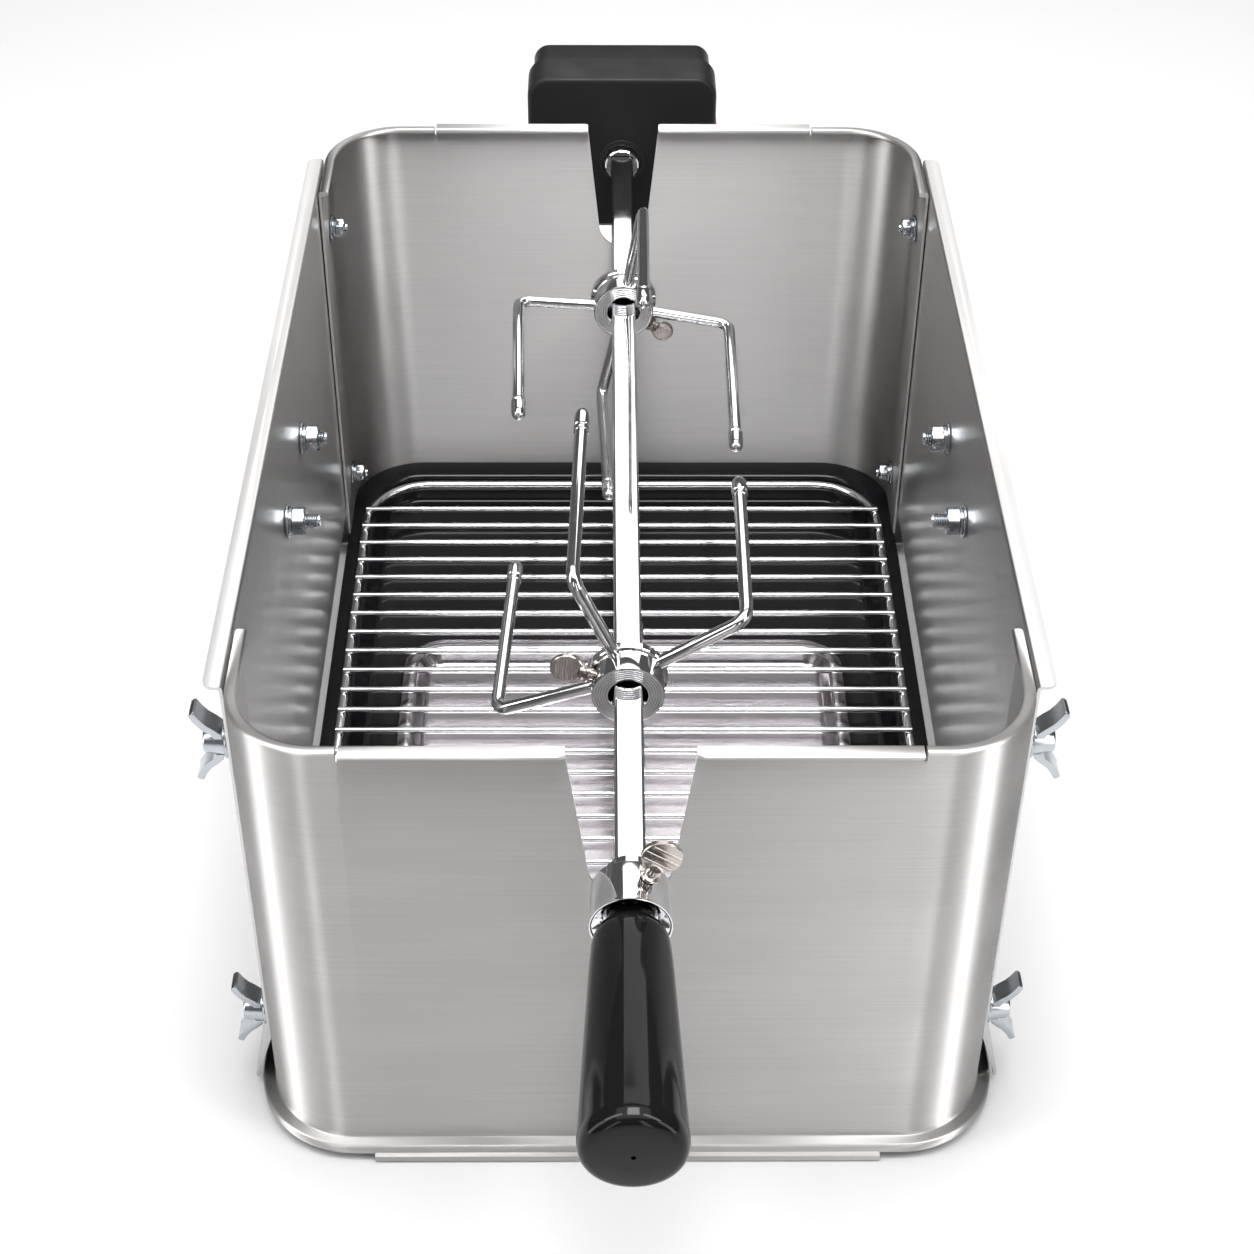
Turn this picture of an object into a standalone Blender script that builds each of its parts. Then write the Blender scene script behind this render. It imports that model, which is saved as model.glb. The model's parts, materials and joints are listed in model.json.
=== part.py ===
"""Open-topped charcoal rotisserie roaster: a bolted sheet-steel box over a fire basin, with a
grate, a motor-driven square spit, two sliding meat forks and a standing-off drive motor.

Frame: origin on the table under the middle of the box, X to the right, Y towards the motor,
Z up.  Lengths in the source are millimetres; MM converts them to metres.
"""
import math

import bmesh
import bpy
from mathutils import Matrix, Vector

MM = 0.001
GAP = 0.3                      # clearance left between separate pieces

# Driving dimensions -----------------------------------------------------------------
SHEET = 1.0                    # thickness of the box sheet
BOX_TOP = 192.0                # top of the rims
BOX_FOOT = 7.0                 # top of the ledge the walls stand on
WALL_X = 127.5                 # outer face of the end panels' legs
WALL_Y = 200.8                 # outer face of the end walls
CORNER = 31.0                  # outer radius of the vertical corners
LEG_END = 142.0                # the end panels' legs stop here
SLIT_X = {-1: 89.8, 1: 82.0}   # slits between corner rims and straight flange, front and rear
SIDE_X = 128.0                 # inner face of the side panels
SIDE_END = 170.5               # half length of the side panels
AXIS_Z = 139.0                 # height of the spit
ROD = 10.0                     # side of the square spit rod
ROD_BORE = 6.8                 # radius of the round bores the rod passes through

BOLT_Y = 163.0                 # corner bolts, front and rear
BOLT_Z = (32.5, 163.0)         # lower and upper corner bolts
M5 = 2.3                       # shank radius of the corner bolts
M6 = 2.8                       # shank radius of the handle bolts
HANDLE_BOLT_Y = (-20.0, 34.0)  # bolts of the side carrying handles
HANDLE_BOLT_Z = 143.0

BASIN_RIM = (125.4, 198.4)     # half sizes of the basin rim
BASIN_RIM_Z = 13.0
GRATE_HALF = (119.5, 176.0)    # half sizes of the grate frame, to the bar's middle
GRATE_BAR = 2.1                # radius of the frame bar
GRATE_WIRE = 1.35              # radius of the cross wires
GRATE_WIRES = 25
WIRE_SPAN_Y = 153.6            # first and last cross wires

HUB_R = 12.8                   # radius of fork hubs and ferrule
PRONG_R = 2.45
PRONG_LONG = 88.0              # length of the prongs along the spit
# Prongs: direction from the axis in degrees, reach, then how far the tip leans in x and in z
REAR_PRONGS = ((-10.6, 46.5, (-0.5, -4.0)), (80.6, 48.4, (-1.0, 8.0)), (176.0, 45.2, (2.5, 0.0)),
               (258.0, 45.6, (3.3, 8.0)))
FRONT_PRONGS = ((33.2, 48.5, (1.4, -5.0)), (113.6, 47.7, (3.0, 9.0)), (198.2, 48.8, (4.2, -3.0)),
                (275.0, 47.0, (0.0, 0.0)))
REAR_HUB_Y = 133.0             # front face of the rear fork's hub
FRONT_HUB_Y = -115.0           # front face of the front fork's hub
FERRULE_Y = (-206.6, -223.4)   # rear end and front rim of the ferrule
HANDLE_Y = (-223.0, -310.6)    # rear neck and end cap of the handle

MOTOR_HALF_W = 44.0
MOTOR_Z = (104.0, 181.0)
MOTOR_Y = (267.0, 288.5, 309.0)   # front face, joint between the shells, rear face
MOTOR_WALL = 2.2

# Gear train: module, teeth, then positions (x, z) worked out from the pitch radii
MODULE_OUT = 0.8
MODULE_MID = 0.6
MODULE_IN = 0.5
TEETH_OUT = 40
TEETH_MID_SMALL = 10
TEETH_MID_LARGE = 30
TEETH_FIRST_SMALL = 10
TEETH_FIRST_LARGE = 30
TEETH_PINION = 10
ANGLE_OUT_MID = math.radians(-30.0)
ANGLE_MID_FIRST = math.radians(-60.0)
ANGLE_FIRST_PINION = math.radians(180.0)

MATERIALS = {
    "stainless": ((0.62, 0.61, 0.60), 1.0, 0.30),
    "chrome": ((0.80, 0.80, 0.80), 1.0, 0.06),
    "zinc": ((0.66, 0.68, 0.70), 1.0, 0.28),
    "nickel": ((0.60, 0.56, 0.52), 1.0, 0.22),
    "black_enamel": ((0.012, 0.012, 0.013), 0.0, 0.08),
    "handle_black": ((0.010, 0.010, 0.010), 0.0, 0.12),
    "motor_black": ((0.018, 0.018, 0.019), 0.0, 0.42),
    "switch_red": ((0.45, 0.02, 0.02), 0.0, 0.35),
    "gear_nylon": ((0.75, 0.73, 0.68), 0.0, 0.45),
    "bronze": ((0.60, 0.42, 0.20), 1.0, 0.35),
    "cell_wrap": ((0.05, 0.09, 0.22), 0.0, 0.35),
}


# Building blocks ----------------------------------------------------------------------
def material(slot):
    """The material of a slot, made the first time it is asked for."""
    found = bpy.data.materials.get(slot)
    if found:
        return found
    color, metallic, roughness = MATERIALS[slot]
    made = bpy.data.materials.new(slot)
    made.use_nodes = True
    shader = made.node_tree.nodes["Principled BSDF"]
    shader.inputs["Base Color"].default_value = (*color, 1.0)
    shader.inputs["Metallic"].default_value = metallic
    shader.inputs["Roughness"].default_value = roughness
    return made


def solid(pieces):
    """A mesh object from (vertices, faces) pieces given in millimetres."""
    mesh = bpy.data.meshes.new("solid")
    verts = []
    faces = []
    for piece_verts, piece_faces in pieces:
        start = len(verts)
        verts.extend(tuple(MM * c for c in v) for v in piece_verts)
        faces.extend(tuple(start + i for i in f) for f in piece_faces)
    mesh.from_pydata(verts, [], faces)
    work = bmesh.new()
    work.from_mesh(mesh)
    bmesh.ops.recalc_face_normals(work, faces=work.faces)
    work.to_mesh(mesh)
    work.free()
    obj = bpy.data.objects.new("solid", mesh)
    bpy.context.scene.collection.objects.link(obj)
    return obj


def loft(rings, closed=False):
    """Skin a list of rings of equal length; the ends are capped unless the loft closes."""
    count = len(rings[0])
    verts = [p for ring in rings for p in ring]
    faces = []
    spans = len(rings) if closed else len(rings) - 1
    for s in range(spans):
        a = s * count
        b = ((s + 1) % len(rings)) * count
        for i in range(count):
            j = (i + 1) % count
            faces.append((a + i, a + j, b + j, b + i))
    if not closed:
        faces.append(tuple(range(count)))
        faces.append(tuple(range(len(verts) - count, len(verts))))
    return verts, faces


def prism(outline, low, high, axis="Y"):
    """Extrude a 2-D outline; it lies in XZ for axis Y, in YZ for axis X, in XY for axis Z."""
    def lay(p, h):
        if axis == "Y":
            return (p[0], h, p[1])
        if axis == "X":
            return (h, p[0], p[1])
        return (p[0], p[1], h)
    return loft([[lay(p, low) for p in outline], [lay(p, high) for p in outline]])


def cuboid(x0, x1, y0, y1, z0, z1):
    return prism([(x0, z0), (x1, z0), (x1, z1), (x0, z1)], y0, y1)


def ring_points(radius, along, segments, axis, centre, hexagon=False):
    """Points of a circle, or of a hexagon with that half width, around an axis."""
    points = []
    for i in range(segments):
        angle = 2 * math.pi * (i + 0.5) / segments
        reach = radius
        if hexagon:
            side = (angle + math.pi / 6) % (math.pi / 3) - math.pi / 6
            reach = radius / math.cos(side)
        u = reach * math.cos(angle)
        v = reach * math.sin(angle)
        offset = {"X": (along, u, v), "Y": (u, along, v), "Z": (u, v, along)}[axis]
        points.append(tuple(c + o for c, o in zip(centre, offset)))
    return points


def turned(profile, axis="Y", centre=(0.0, 0.0, 0.0), segments=24, closed=False):
    """Turn a profile of (radius, along) points; a third item True makes that ring hexagonal."""
    rings = []
    for point in profile:
        hexagon = len(point) == 3 and point[2]
        rings.append(ring_points(point[0], point[1], segments, axis, centre, hexagon))
    return loft(rings, closed)


def cylinder(radius, low, high, axis="Y", centre=(0.0, 0.0, 0.0), segments=16):
    return turned([(radius, low), (radius, high)], axis, centre, segments)


def tube(path, radii, segments=8, closed=False):
    """Sweep a circle along a path of points, with one radius for each point."""
    points = [Vector(p) for p in path]
    count = len(points)
    rings = []
    side = None
    for i, point in enumerate(points):
        before = points[(i - 1) % count] if closed or i else point
        after = points[(i + 1) % count] if closed or i < count - 1 else point
        along = (after - before).normalized()
        if side is None:
            side = along.orthogonal().normalized()
        side = (side - along * side.dot(along)).normalized()
        up = along.cross(side)
        ring = []
        for k in range(segments):
            angle = 2 * math.pi * (k + 0.5) / segments
            ring.append(tuple(point + radii[i] * (math.cos(angle) * side + math.sin(angle) * up)))
        rings.append(ring)
    return loft(rings, closed)


def arc(centre, radius, start, end, steps):
    """Points of a circular arc, angles in degrees, both ends included."""
    points = []
    for i in range(steps + 1):
        angle = math.radians(start + (end - start) * i / steps)
        points.append((centre[0] + radius * math.cos(angle), centre[1] + radius * math.sin(angle)))
    return points


def rounded_rect(half_x, half_y, radius, steps=5, centre=(0.0, 0.0)):
    """Outline of a rectangle with rounded corners, anticlockwise."""
    points = []
    for sx, sy, start in ((1, 1, 0), (-1, 1, 90), (-1, -1, 180), (1, -1, 270)):
        middle = (centre[0] + sx * (half_x - radius), centre[1] + sy * (half_y - radius))
        points.extend(arc(middle, radius, start, start + 90, steps))
    return points


def turn_about_y(piece, degrees, pivot=(0.0, 0.0)):
    """Rotate a piece's points about an axis parallel to Y through pivot (x, z)."""
    verts, faces = piece
    angle = math.radians(degrees)
    cos_a = math.cos(angle)
    sin_a = math.sin(angle)
    turned_verts = []
    for x, y, z in verts:
        dx = x - pivot[0]
        dz = z - pivot[1]
        turned_verts.append((pivot[0] + dx * cos_a - dz * sin_a, y, pivot[1] + dx * sin_a + dz * cos_a))
    return turned_verts, faces


def moved(piece, x=0.0, y=0.0, z=0.0):
    verts, faces = piece
    return [(v[0] + x, v[1] + y, v[2] + z) for v in verts], faces


def mirrored(piece, x=1.0, y=1.0, z=1.0):
    verts, faces = piece
    return [(v[0] * x, v[1] * y, v[2] * z) for v in verts], faces


def combine(base, pieces, operation):
    """Union with, or cut by, a list of pieces that do not touch one another."""
    if not pieces:
        return base
    tool = solid(pieces)
    step = base.modifiers.new(operation.lower(), "BOOLEAN")
    step.operation = operation
    step.solver = "EXACT"
    step.object = tool
    bpy.context.view_layer.update()
    finished = bpy.data.meshes.new_from_object(base.evaluated_get(bpy.context.evaluated_depsgraph_get()))
    base.modifiers.clear()
    base.data = finished
    bpy.data.objects.remove(tool)
    return base


def tidy(obj):
    """Merge the doubled points a cut can leave and drop faces with no area."""
    work = bmesh.new()
    work.from_mesh(obj.data)
    bmesh.ops.remove_doubles(work, verts=work.verts, dist=2e-6)
    bmesh.ops.dissolve_degenerate(work, edges=work.edges, dist=2e-6)
    bmesh.ops.recalc_face_normals(work, faces=work.faces)
    work.to_mesh(obj.data)
    work.free()
    return obj


def finish(obj, name, slot, origin=(0.0, 0.0, 0.0), smooth=True):
    """Name, place and colour a component whose shape is complete."""
    tidy(obj)
    obj.name = name
    obj.data.name = name
    shift = Vector(origin) * MM
    obj.data.transform(Matrix.Translation(-shift))
    obj.location = shift
    obj.data.materials.clear()
    obj.data.materials.append(material(slot))
    for polygon in obj.data.polygons:
        polygon.use_smooth = smooth
    if smooth:
        obj.data.set_sharp_from_angle(angle=math.radians(32.0))
    return obj


def node(name, slot, piece, cut=(), origin=(0.0, 0.0, 0.0), smooth=True):
    """Make one named component from one piece and what is cut away from it."""
    obj = solid([piece])
    combine(obj, list(cut), "DIFFERENCE")
    return finish(obj, name, slot, origin, smooth)


# Box ----------------------------------------------------------------------------------
def rim_profile(kind):
    """Section of an end panel as (outward, z): rim at the top, ledge and skirt at the foot."""
    top = BOX_TOP
    rims = {
        "corner": [(0.0, top - 1.6), (-0.5, top - 0.4), (-1.4, top), (-3.2, top), (-4.0, top - 0.6),
                   (-4.0, top - 1.8), (-SHEET, top - 2.4)],
        "straight": [(0.0, top - 1.4), (1.8, top - 1.4), (1.8, top), (-3.2, top), (-4.0, top - 0.6),
                     (-4.0, top - 1.8), (-SHEET, top - 2.4)],
        "slit": [(0.0, top - 4.4), (-0.15, top - 4.0), (-0.3, top - 3.8), (-0.5, top - 3.8),
                 (-0.7, top - 3.85), (-0.85, top - 4.0), (-SHEET, top - 4.4)],
    }
    foot = BOX_FOOT
    inner = [(-SHEET, foot + 0.8), (-0.2, foot - 0.8), (0.8, foot - 1.0), (3.9, foot - 1.2)]
    if kind == "straight":
        skirt = [(3.9, 0.0), (6.2, 0.0), (6.2, 3.2), (4.9, 3.7)]
    else:
        skirt = [(3.9, 3.0), (4.9, 3.0), (4.9, 3.3), (4.9, 3.7)]
    ledge = [(4.9, foot - 0.8), (4.2, foot), (1.0, foot), (0.3, foot + 0.3)]
    return [(0.0, foot + 1.4)] + rims[kind] + inner + skirt + ledge


def end_panel(side):
    """One U-shaped end panel; side is -1 for the front and +1 for the rear."""
    straight_x = WALL_X - CORNER
    tangent_y = WALL_Y - CORNER
    stations = [((-WALL_X, LEG_END), (-1.0, 0.0), "corner")]
    for i in range(7):
        angle = math.radians(180.0 - 90.0 * i / 6)
        normal = (math.cos(angle), math.sin(angle))
        point = (-straight_x + CORNER * normal[0], tangent_y + CORNER * normal[1])
        stations.append((point, normal, "corner"))
    for x, kind in ((-0.4, "corner"), (-0.25, "slit"), (0.25, "slit"), (0.4, "straight")):
        stations.append(((-SLIT_X[side] + x, WALL_Y), (0.0, 1.0), kind))
    stations += [((-p[0], p[1]), (-n[0], n[1]), kind) for p, n, kind in reversed(stations)]
    rings = []
    for point, normal, kind in stations:
        ring = []
        for out, z in rim_profile(kind):
            ring.append((point[0] + out * normal[0], side * (point[1] + out * normal[1]), z))
        rings.append(ring)
    return loft(rings)


def notch(half_top, half_low, deep, low, side):
    """Tapered notch for the spit, open at the top, its bottom half an ellipse 'deep' high."""
    outline = [(-half_top, BOX_TOP + 6.0), (-half_top, BOX_TOP - 1.0)]
    for i in range(11):
        turn = math.radians(180.0 + 18.0 * i)
        outline.append((half_low * math.cos(turn), low + deep + deep * math.sin(turn)))
    outline += [(half_top, BOX_TOP - 1.0), (half_top, BOX_TOP + 6.0)]
    return prism(outline, side * (WALL_Y - 8.0), side * (WALL_Y + 8.0))


def flange_chamfers(half_top, side):
    """Cuts that slope the flange ends beside a notch."""
    cuts = []
    for sx in (-1, 1):
        outline = [(sx * (half_top - 1.0), side * (WALL_Y + 0.2)),
                   (sx * (half_top + 4.5), side * (WALL_Y + 3.0)),
                   (sx * (half_top - 1.0), side * (WALL_Y + 3.0))]
        cuts.append(prism(outline, BOX_TOP - 4.0, BOX_TOP + 4.0, axis="Z"))
    return cuts


def corner_holes(side, radius):
    """Bolt holes through both legs of an end panel."""
    holes = []
    for sx in (-1, 1):
        for z in BOLT_Z:
            holes.append(cylinder(radius, sx * (WALL_X - 4.0), sx * (SIDE_X + 4.0), "X",
                                  (0.0, side * BOLT_Y, z), 12))
    return holes


def build_box():
    hole = M5 + GAP
    for name, side, half_top, half_low, deep, low in (
            ("front_panel", -1, 20.2, 13.4, 10.0, AXIS_Z - 8.3), ("rear_panel", 1, 15.4, 10.6, 10.6, AXIS_Z - 6.9)):
        panel = solid([end_panel(side)])
        combine(panel, [notch(half_top, half_low, deep, low, side)] + corner_holes(side, hole), "DIFFERENCE")
        combine(panel, flange_chamfers(half_top, side), "DIFFERENCE")
        finish(panel, name, "stainless")
    for name, sx in (("left_side_panel", -1), ("right_side_panel", 1)):
        holes = []
        for sy in (-1, 1):
            for z in BOLT_Z:
                holes.append(cylinder(hole, sx * (SIDE_X - 3.0), sx * (SIDE_X + 4.0), "X",
                                      (0.0, sy * BOLT_Y, z), 12))
        for y in HANDLE_BOLT_Y:
            holes.append(cylinder(M6 + GAP, sx * (SIDE_X - 3.0), sx * (SIDE_X + 4.0), "X",
                                  (0.0, y, HANDLE_BOLT_Z), 12))
        node(name, "stainless", mirrored(side_panel(), x=sx), cut=holes)


def side_panel():
    """Right side panel: flange folded out at the top, foot flared out over the end panels' ledge."""
    inner = SIDE_X
    outer = SIDE_X + SHEET
    def section(reach):
        tip = inner + reach
        return [(inner, 25.0), (inner, BOX_TOP - 1.6), (inner + 0.5, BOX_TOP - 0.5), (inner + 1.4, BOX_TOP),
                (tip, BOX_TOP), (tip, BOX_TOP - 1.1), (outer + 0.7, BOX_TOP - 1.1),
                (outer + 0.15, BOX_TOP - 1.5), (outer, BOX_TOP - 2.2), (outer, 25.3),
                (inner + 7.2, 4.8), (inner + 7.2, 2.6), (inner + 6.2, 2.6), (inner + 6.2, 4.4)]
    stations = [(-SIDE_END, 3.6), (-SIDE_END + 0.7, 5.2), (-SIDE_END + 2.0, 6.2), (-SIDE_END + 3.4, 6.5)]
    stations += [(-y, reach) for y, reach in reversed(stations)]
    rings = [[(x, y, z) for x, z in section(reach)] for y, reach in stations]
    return loft(rings)


# Basin, tray and grate ------------------------------------------------------------------
def level(outline, z):
    return [(x, y, z) for x, y in outline]


def pan(rim, rim_z, rim_width, depth, slope, sheet, radius, centre=(0.0, 0.0)):
    """A pressed pan with a flat rim; half sizes are those of the rim's edge."""
    def outline(inset):
        return rounded_rect(rim[0] - inset, rim[1] - inset, max(radius - inset, 6.0), 4, centre)
    floor = rim_z - depth
    in_top = rim_width
    in_floor = rim_width + slope
    rings = [
        level(outline(in_floor + 3.0), floor - sheet), level(outline(in_floor), floor - sheet + 0.6),
        level(outline(in_top + sheet), rim_z - sheet - 1.0), level(outline(in_top), rim_z - sheet),
        level(outline(0.8), rim_z - sheet), level(outline(0.0), rim_z - sheet - 0.6),
        level(outline(-0.4), rim_z - 0.9), level(outline(0.4), rim_z),
        level(outline(in_top + sheet * 0.6), rim_z), level(outline(in_top + sheet * 1.8), rim_z - 1.0),
        level(outline(in_floor + sheet), floor + 0.8), level(outline(in_floor + 3.4), floor),
    ]
    return loft(rings)


def build_basin():
    node("fire_basin", "black_enamel",
         pan(BASIN_RIM, BASIN_RIM_Z, 8.5, 11.8, 5.0, 1.2, 31.0))
    node("drip_tray", "stainless",
         pan((96.0, 124.0), 8.7, 5.0, 6.4, 3.5, 0.8, 18.0, (0.0, -54.0)), origin=(0.0, -54.0, 2.0))


def build_grate():
    """Welded grate: a rounded frame bar with the cross wires let a little into its top."""
    half_x, half_y = GRATE_HALF
    corner = 29.0
    pitch = 2 * WIRE_SPAN_Y / (GRATE_WIRES - 1)
    bar_z = BASIN_RIM_Z + GAP + GRATE_BAR
    wire_z = bar_z + GRATE_BAR + GRATE_WIRE - 0.95
    wire_y = [-WIRE_SPAN_Y + i * pitch for i in range(GRATE_WIRES)]
    between = [y + pitch / 2 for y in wire_y if abs(y + pitch / 2) < half_y - corner - 1.0]
    outline = rounded_rect(half_x, half_y, corner, 5)
    side = len(outline) // 2
    frame = outline[:side] + [(-half_x, y) for y in reversed(between)]
    frame += outline[side:] + [(half_x, y) for y in between]
    loop = tube([(x, y, bar_z) for x, y in frame], [GRATE_BAR] * len(frame), 8, closed=True)
    wires = []
    for y in wire_y:
        over = max(0.0, abs(y) - (half_y - corner))
        reach = half_x - corner + math.sqrt(corner ** 2 - over ** 2) + 1.4
        wires.append(cylinder(GRATE_WIRE, -reach, reach, "X", (0.0, y, wire_z), 6))
    grate = solid([loop])
    combine(grate, wires, "UNION")
    finish(grate, "grill_grate", "chrome", (0.0, 0.0, bar_z))


# Spit -------------------------------------------------------------------------------------
def square_bar(half, chamfer, low, high):
    """Square bar along Y with chamfered edges, centred on the spit's axis."""
    a = half
    b = half - chamfer
    outline = [(a, b), (b, a), (-b, a), (-a, b), (-a, -b), (-b, -a), (b, -a), (a, -b)]
    return prism([(x, AXIS_Z + z) for x, z in outline], low, high)


def prong(angle, reach, lean, root_y, toward):
    """A bent prong: out from the hub at angle, then along the spit towards 'toward'."""
    bend = 5.0
    path = [(7.9, 0.0), (reach - bend, 0.0)]
    for i in range(1, 4):
        turn = math.radians(90.0 * i / 3)
        path.append((reach - bend + bend * math.sin(turn), bend * (1 - math.cos(turn))))
    cap = PRONG_LONG - 12.0
    path += [(reach, cap), (reach, cap + 0.3), (reach, cap + 9.4), (reach, cap + 12.0)]
    radii = [PRONG_R] * 6 + [3.0, 2.9, 1.2]
    points = []
    for r, along in path:
        share = along / PRONG_LONG
        points.append((r * math.cos(math.radians(angle)) + lean[0] * share, root_y + toward * along,
                       AXIS_Z + r * math.sin(math.radians(angle)) + lean[1] * share))
    return tube(points, radii, 8)


def screw_hole(angle, y, radius, reach):
    """Radial hole for a thumb screw."""
    hole = cylinder(radius, 4.0, reach, "X", (0.0, y, 0.0), 12)
    return moved(turn_about_y(hole, angle), z=AXIS_Z)


def fork(name, face_y, toward, prongs, screw_angle):
    """A fork: hub with a wider back ring, and four prongs."""
    back = face_y + 13.0
    hub = [(ROD_BORE, face_y), (HUB_R - 0.6, face_y), (HUB_R, face_y + 0.6), (HUB_R, back - 3.4),
           (HUB_R + 1.3, back - 3.0), (HUB_R + 1.3, back), (ROD_BORE, back)]
    centre = (0.0, 0.0, AXIS_Z)
    obj = solid([turned(hub, "Y", centre, 24, closed=True)])
    root_y = face_y + (9.6 if toward > 0 else 4.4)
    combine(obj, [prong(angle, reach, lean, root_y, toward) for angle, reach, lean in prongs], "UNION")
    combine(obj, [screw_hole(screw_angle, face_y + 6.4, 2.5, HUB_R + 6.0)], "DIFFERENCE")
    return finish(obj, name, "chrome", (0.0, face_y + 6.5, AXIS_Z))


def thumb_screw(name, angle, y, seat, disc_r, stem=2.1):
    """Thumb screw with a flat round head; 'seat' is the radius its stem comes out at."""
    shank = cylinder(stem, ROD_BORE, seat + 3.4, "X", (0.0, y, 0.0), 12)
    neck = turned([(stem + 0.9, seat + 2.0), (stem + 1.3, seat + 3.0), (stem + 0.6, seat + 5.4)], "X",
                  (0.0, y, 0.0), 12)
    middle = seat + 4.2 + disc_r
    disc = turned([(disc_r - 0.4, -1.3), (disc_r, -0.8), (disc_r, 0.8), (disc_r - 0.4, 1.3)], "Y",
                  (middle, y, 0.0), 16)
    obj = solid([moved(turn_about_y(shank, angle), z=AXIS_Z)])
    combine(obj, [moved(turn_about_y(neck, angle), z=AXIS_Z)], "UNION")
    combine(obj, [moved(turn_about_y(disc, angle), z=AXIS_Z)], "UNION")
    middle_r = seat + 2.0
    x = middle_r * math.cos(math.radians(angle))
    z = AXIS_Z + middle_r * math.sin(math.radians(angle))
    return finish(obj, name, "nickel", (x, y, z))


def build_spit():
    centre = (0.0, 0.0, AXIS_Z)
    axis = (0.0, 0.0, AXIS_Z)
    tang_y = FERRULE_Y[1] + 6.0
    rod = solid([square_bar(ROD / 2, 1.0, tang_y, 276.0)])
    combine(rod, [cylinder(4.6, HANDLE_Y[1] + 47.0, tang_y + 2.0, "Y", centre, 16)], "UNION")
    finish(rod, "spit_rod", "chrome", axis)
    fork("rear_fork", REAR_HUB_Y, -1, REAR_PRONGS, -38.0)
    fork("front_fork", FRONT_HUB_Y, 1, FRONT_PRONGS, 160.0)
    thumb_screw("rear_fork_screw", -38.0, REAR_HUB_Y + 6.4, HUB_R, 4.6)
    thumb_screw("front_fork_screw", 160.0, FRONT_HUB_Y + 6.4, HUB_R, 5.8)
    rear_y, rim_y = FERRULE_Y
    journal_y = -WALL_Y + 1.4
    sleeve = HUB_R
    ferrule = [(ROD_BORE, journal_y), (7.7, journal_y), (8.0, journal_y - 0.3), (8.0, rear_y - 0.1),
               (sleeve - 0.3, rear_y), (sleeve, rear_y - 0.3), (sleeve, rim_y + 1.6),
               (sleeve + 0.3, rim_y + 0.3), (sleeve, rim_y), (sleeve - 0.7, rim_y + 0.2),
               (8.6, rim_y + 4.6), (ROD_BORE, rim_y + 4.8)]
    screw_y = rim_y + 9.6
    node("ferrule", "chrome", turned(ferrule, "Y", centre, 24, closed=True),
         cut=[screw_hole(66.0, screw_y, 2.5, sleeve + 6.0)], origin=axis)
    thumb_screw("ferrule_screw", 66.0, screw_y, sleeve, 6.6)
    shoulder, end = HANDLE_Y
    handle = [(5.0, shoulder + 3.6), (7.3, shoulder + 3.6), (7.5, shoulder - 0.2), (9.4, shoulder - 1.8),
              (11.2, shoulder - 4.2), (12.4, shoulder - 8.0), (12.9, shoulder - 13.0), (16.1, end + 7.0),
              (16.4, end + 5.0), (16.1, end + 2.6), (15.0, end + 0.8), (13.4, end), (0.8, end - 0.3)]
    bore = [(0.8, end + 46.0), (5.0, end + 46.2)]
    node("handle", "handle_black", turned(handle + bore, "Y", centre, 24, closed=True), origin=axis)


# Fasteners ---------------------------------------------------------------------------------
def wing_nut(name, sx, y, z):
    """Pressed wing nut on a front corner bolt; it turns about X."""
    face = SIDE_X + SHEET + GAP
    base = turned([(M5 + GAP, face), (6.2, face), (6.2, face + 1.0), (5.0, face + 1.3), (4.3, face + 8.2),
                   (M5 + GAP, face + 8.2)], "X", (0.0, 0.0, 0.0), 12, closed=True)
    strip = [(3.4, face + 1.8), (5.2, face + 2.0), (9.2, face + 6.6), (14.6, face + 9.8), (13.7, face + 11.5),
             (7.7, face + 8.2), (4.4, face + 4.6), (3.4, face + 4.2)]
    wings = []
    for sign in (-1, 1):
        rings = []
        for width in (-3.7, -3.1, 3.1, 3.7):
            shrink = 0.25 if abs(width) > 3.5 else 0.0
            ring = []
            for reach, x in strip:
                ring.append((x, width, sign * (reach - (shrink if reach > 12 else 0.0))))
            rings.append(ring)
        wings.append(loft(rings))
    obj = solid([moved(mirrored(base, x=sx), y=y, z=z)])
    for wing in wings:
        combine(obj, [moved(mirrored(wing, x=sx), y=y, z=z)], "UNION")
    bore = cylinder(M5 + GAP, face - 1.0, face + 20.0, "X", (0.0, 0.0, 0.0), 12)
    combine(obj, [moved(mirrored(bore, x=sx), y=y, z=z)], "DIFFERENCE")
    finish(obj, name, "zinc", (sx * (face + 4.0), y, z))


def bolt(name, sx, y, z, radius, head_r, head_x, tip_x, hexagon=False):
    """A bolt along X; head_x is its seat, tip_x its far end, both for the right-hand side."""
    away = 1.0 if head_x > tip_x else -1.0
    thick = 2.6 if hexagon else 2.3
    profile = [(head_r * 0.7, head_x + away * thick), (head_r, head_x + away * thick * 0.4, hexagon),
               (head_r, head_x, hexagon), (radius, head_x), (radius, tip_x + away * 0.6), (radius - 0.5, tip_x)]
    piece = turned(profile, "X", (0.0, 0.0, 0.0), 12)
    node(name, "zinc", moved(mirrored(piece, x=sx), y=y, z=z), origin=(sx * head_x, y, z))


def hex_nut(name, sx, y, z, radius, flats, seat_x, height):
    """Hex nut with its plain and spring washers, seated at seat_x and standing inwards."""
    bore = radius + GAP
    w = flats / 2
    profile = [(bore, seat_x), (w + 1.6, seat_x), (w + 1.6, seat_x - 1.0), (w - 0.3, seat_x - 1.1),
               (w - 0.3, seat_x - 2.0), (w, seat_x - 2.2, True), (w, seat_x - 1.9 - height, True),
               (w - 0.5, seat_x - 2.2 - height), (bore, seat_x - 2.2 - height)]
    piece = turned(profile, "X", (0.0, 0.0, 0.0), 12, closed=True)
    node(name, "zinc", moved(mirrored(piece, x=sx), y=y, z=z), origin=(sx * seat_x, y, z))


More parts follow.
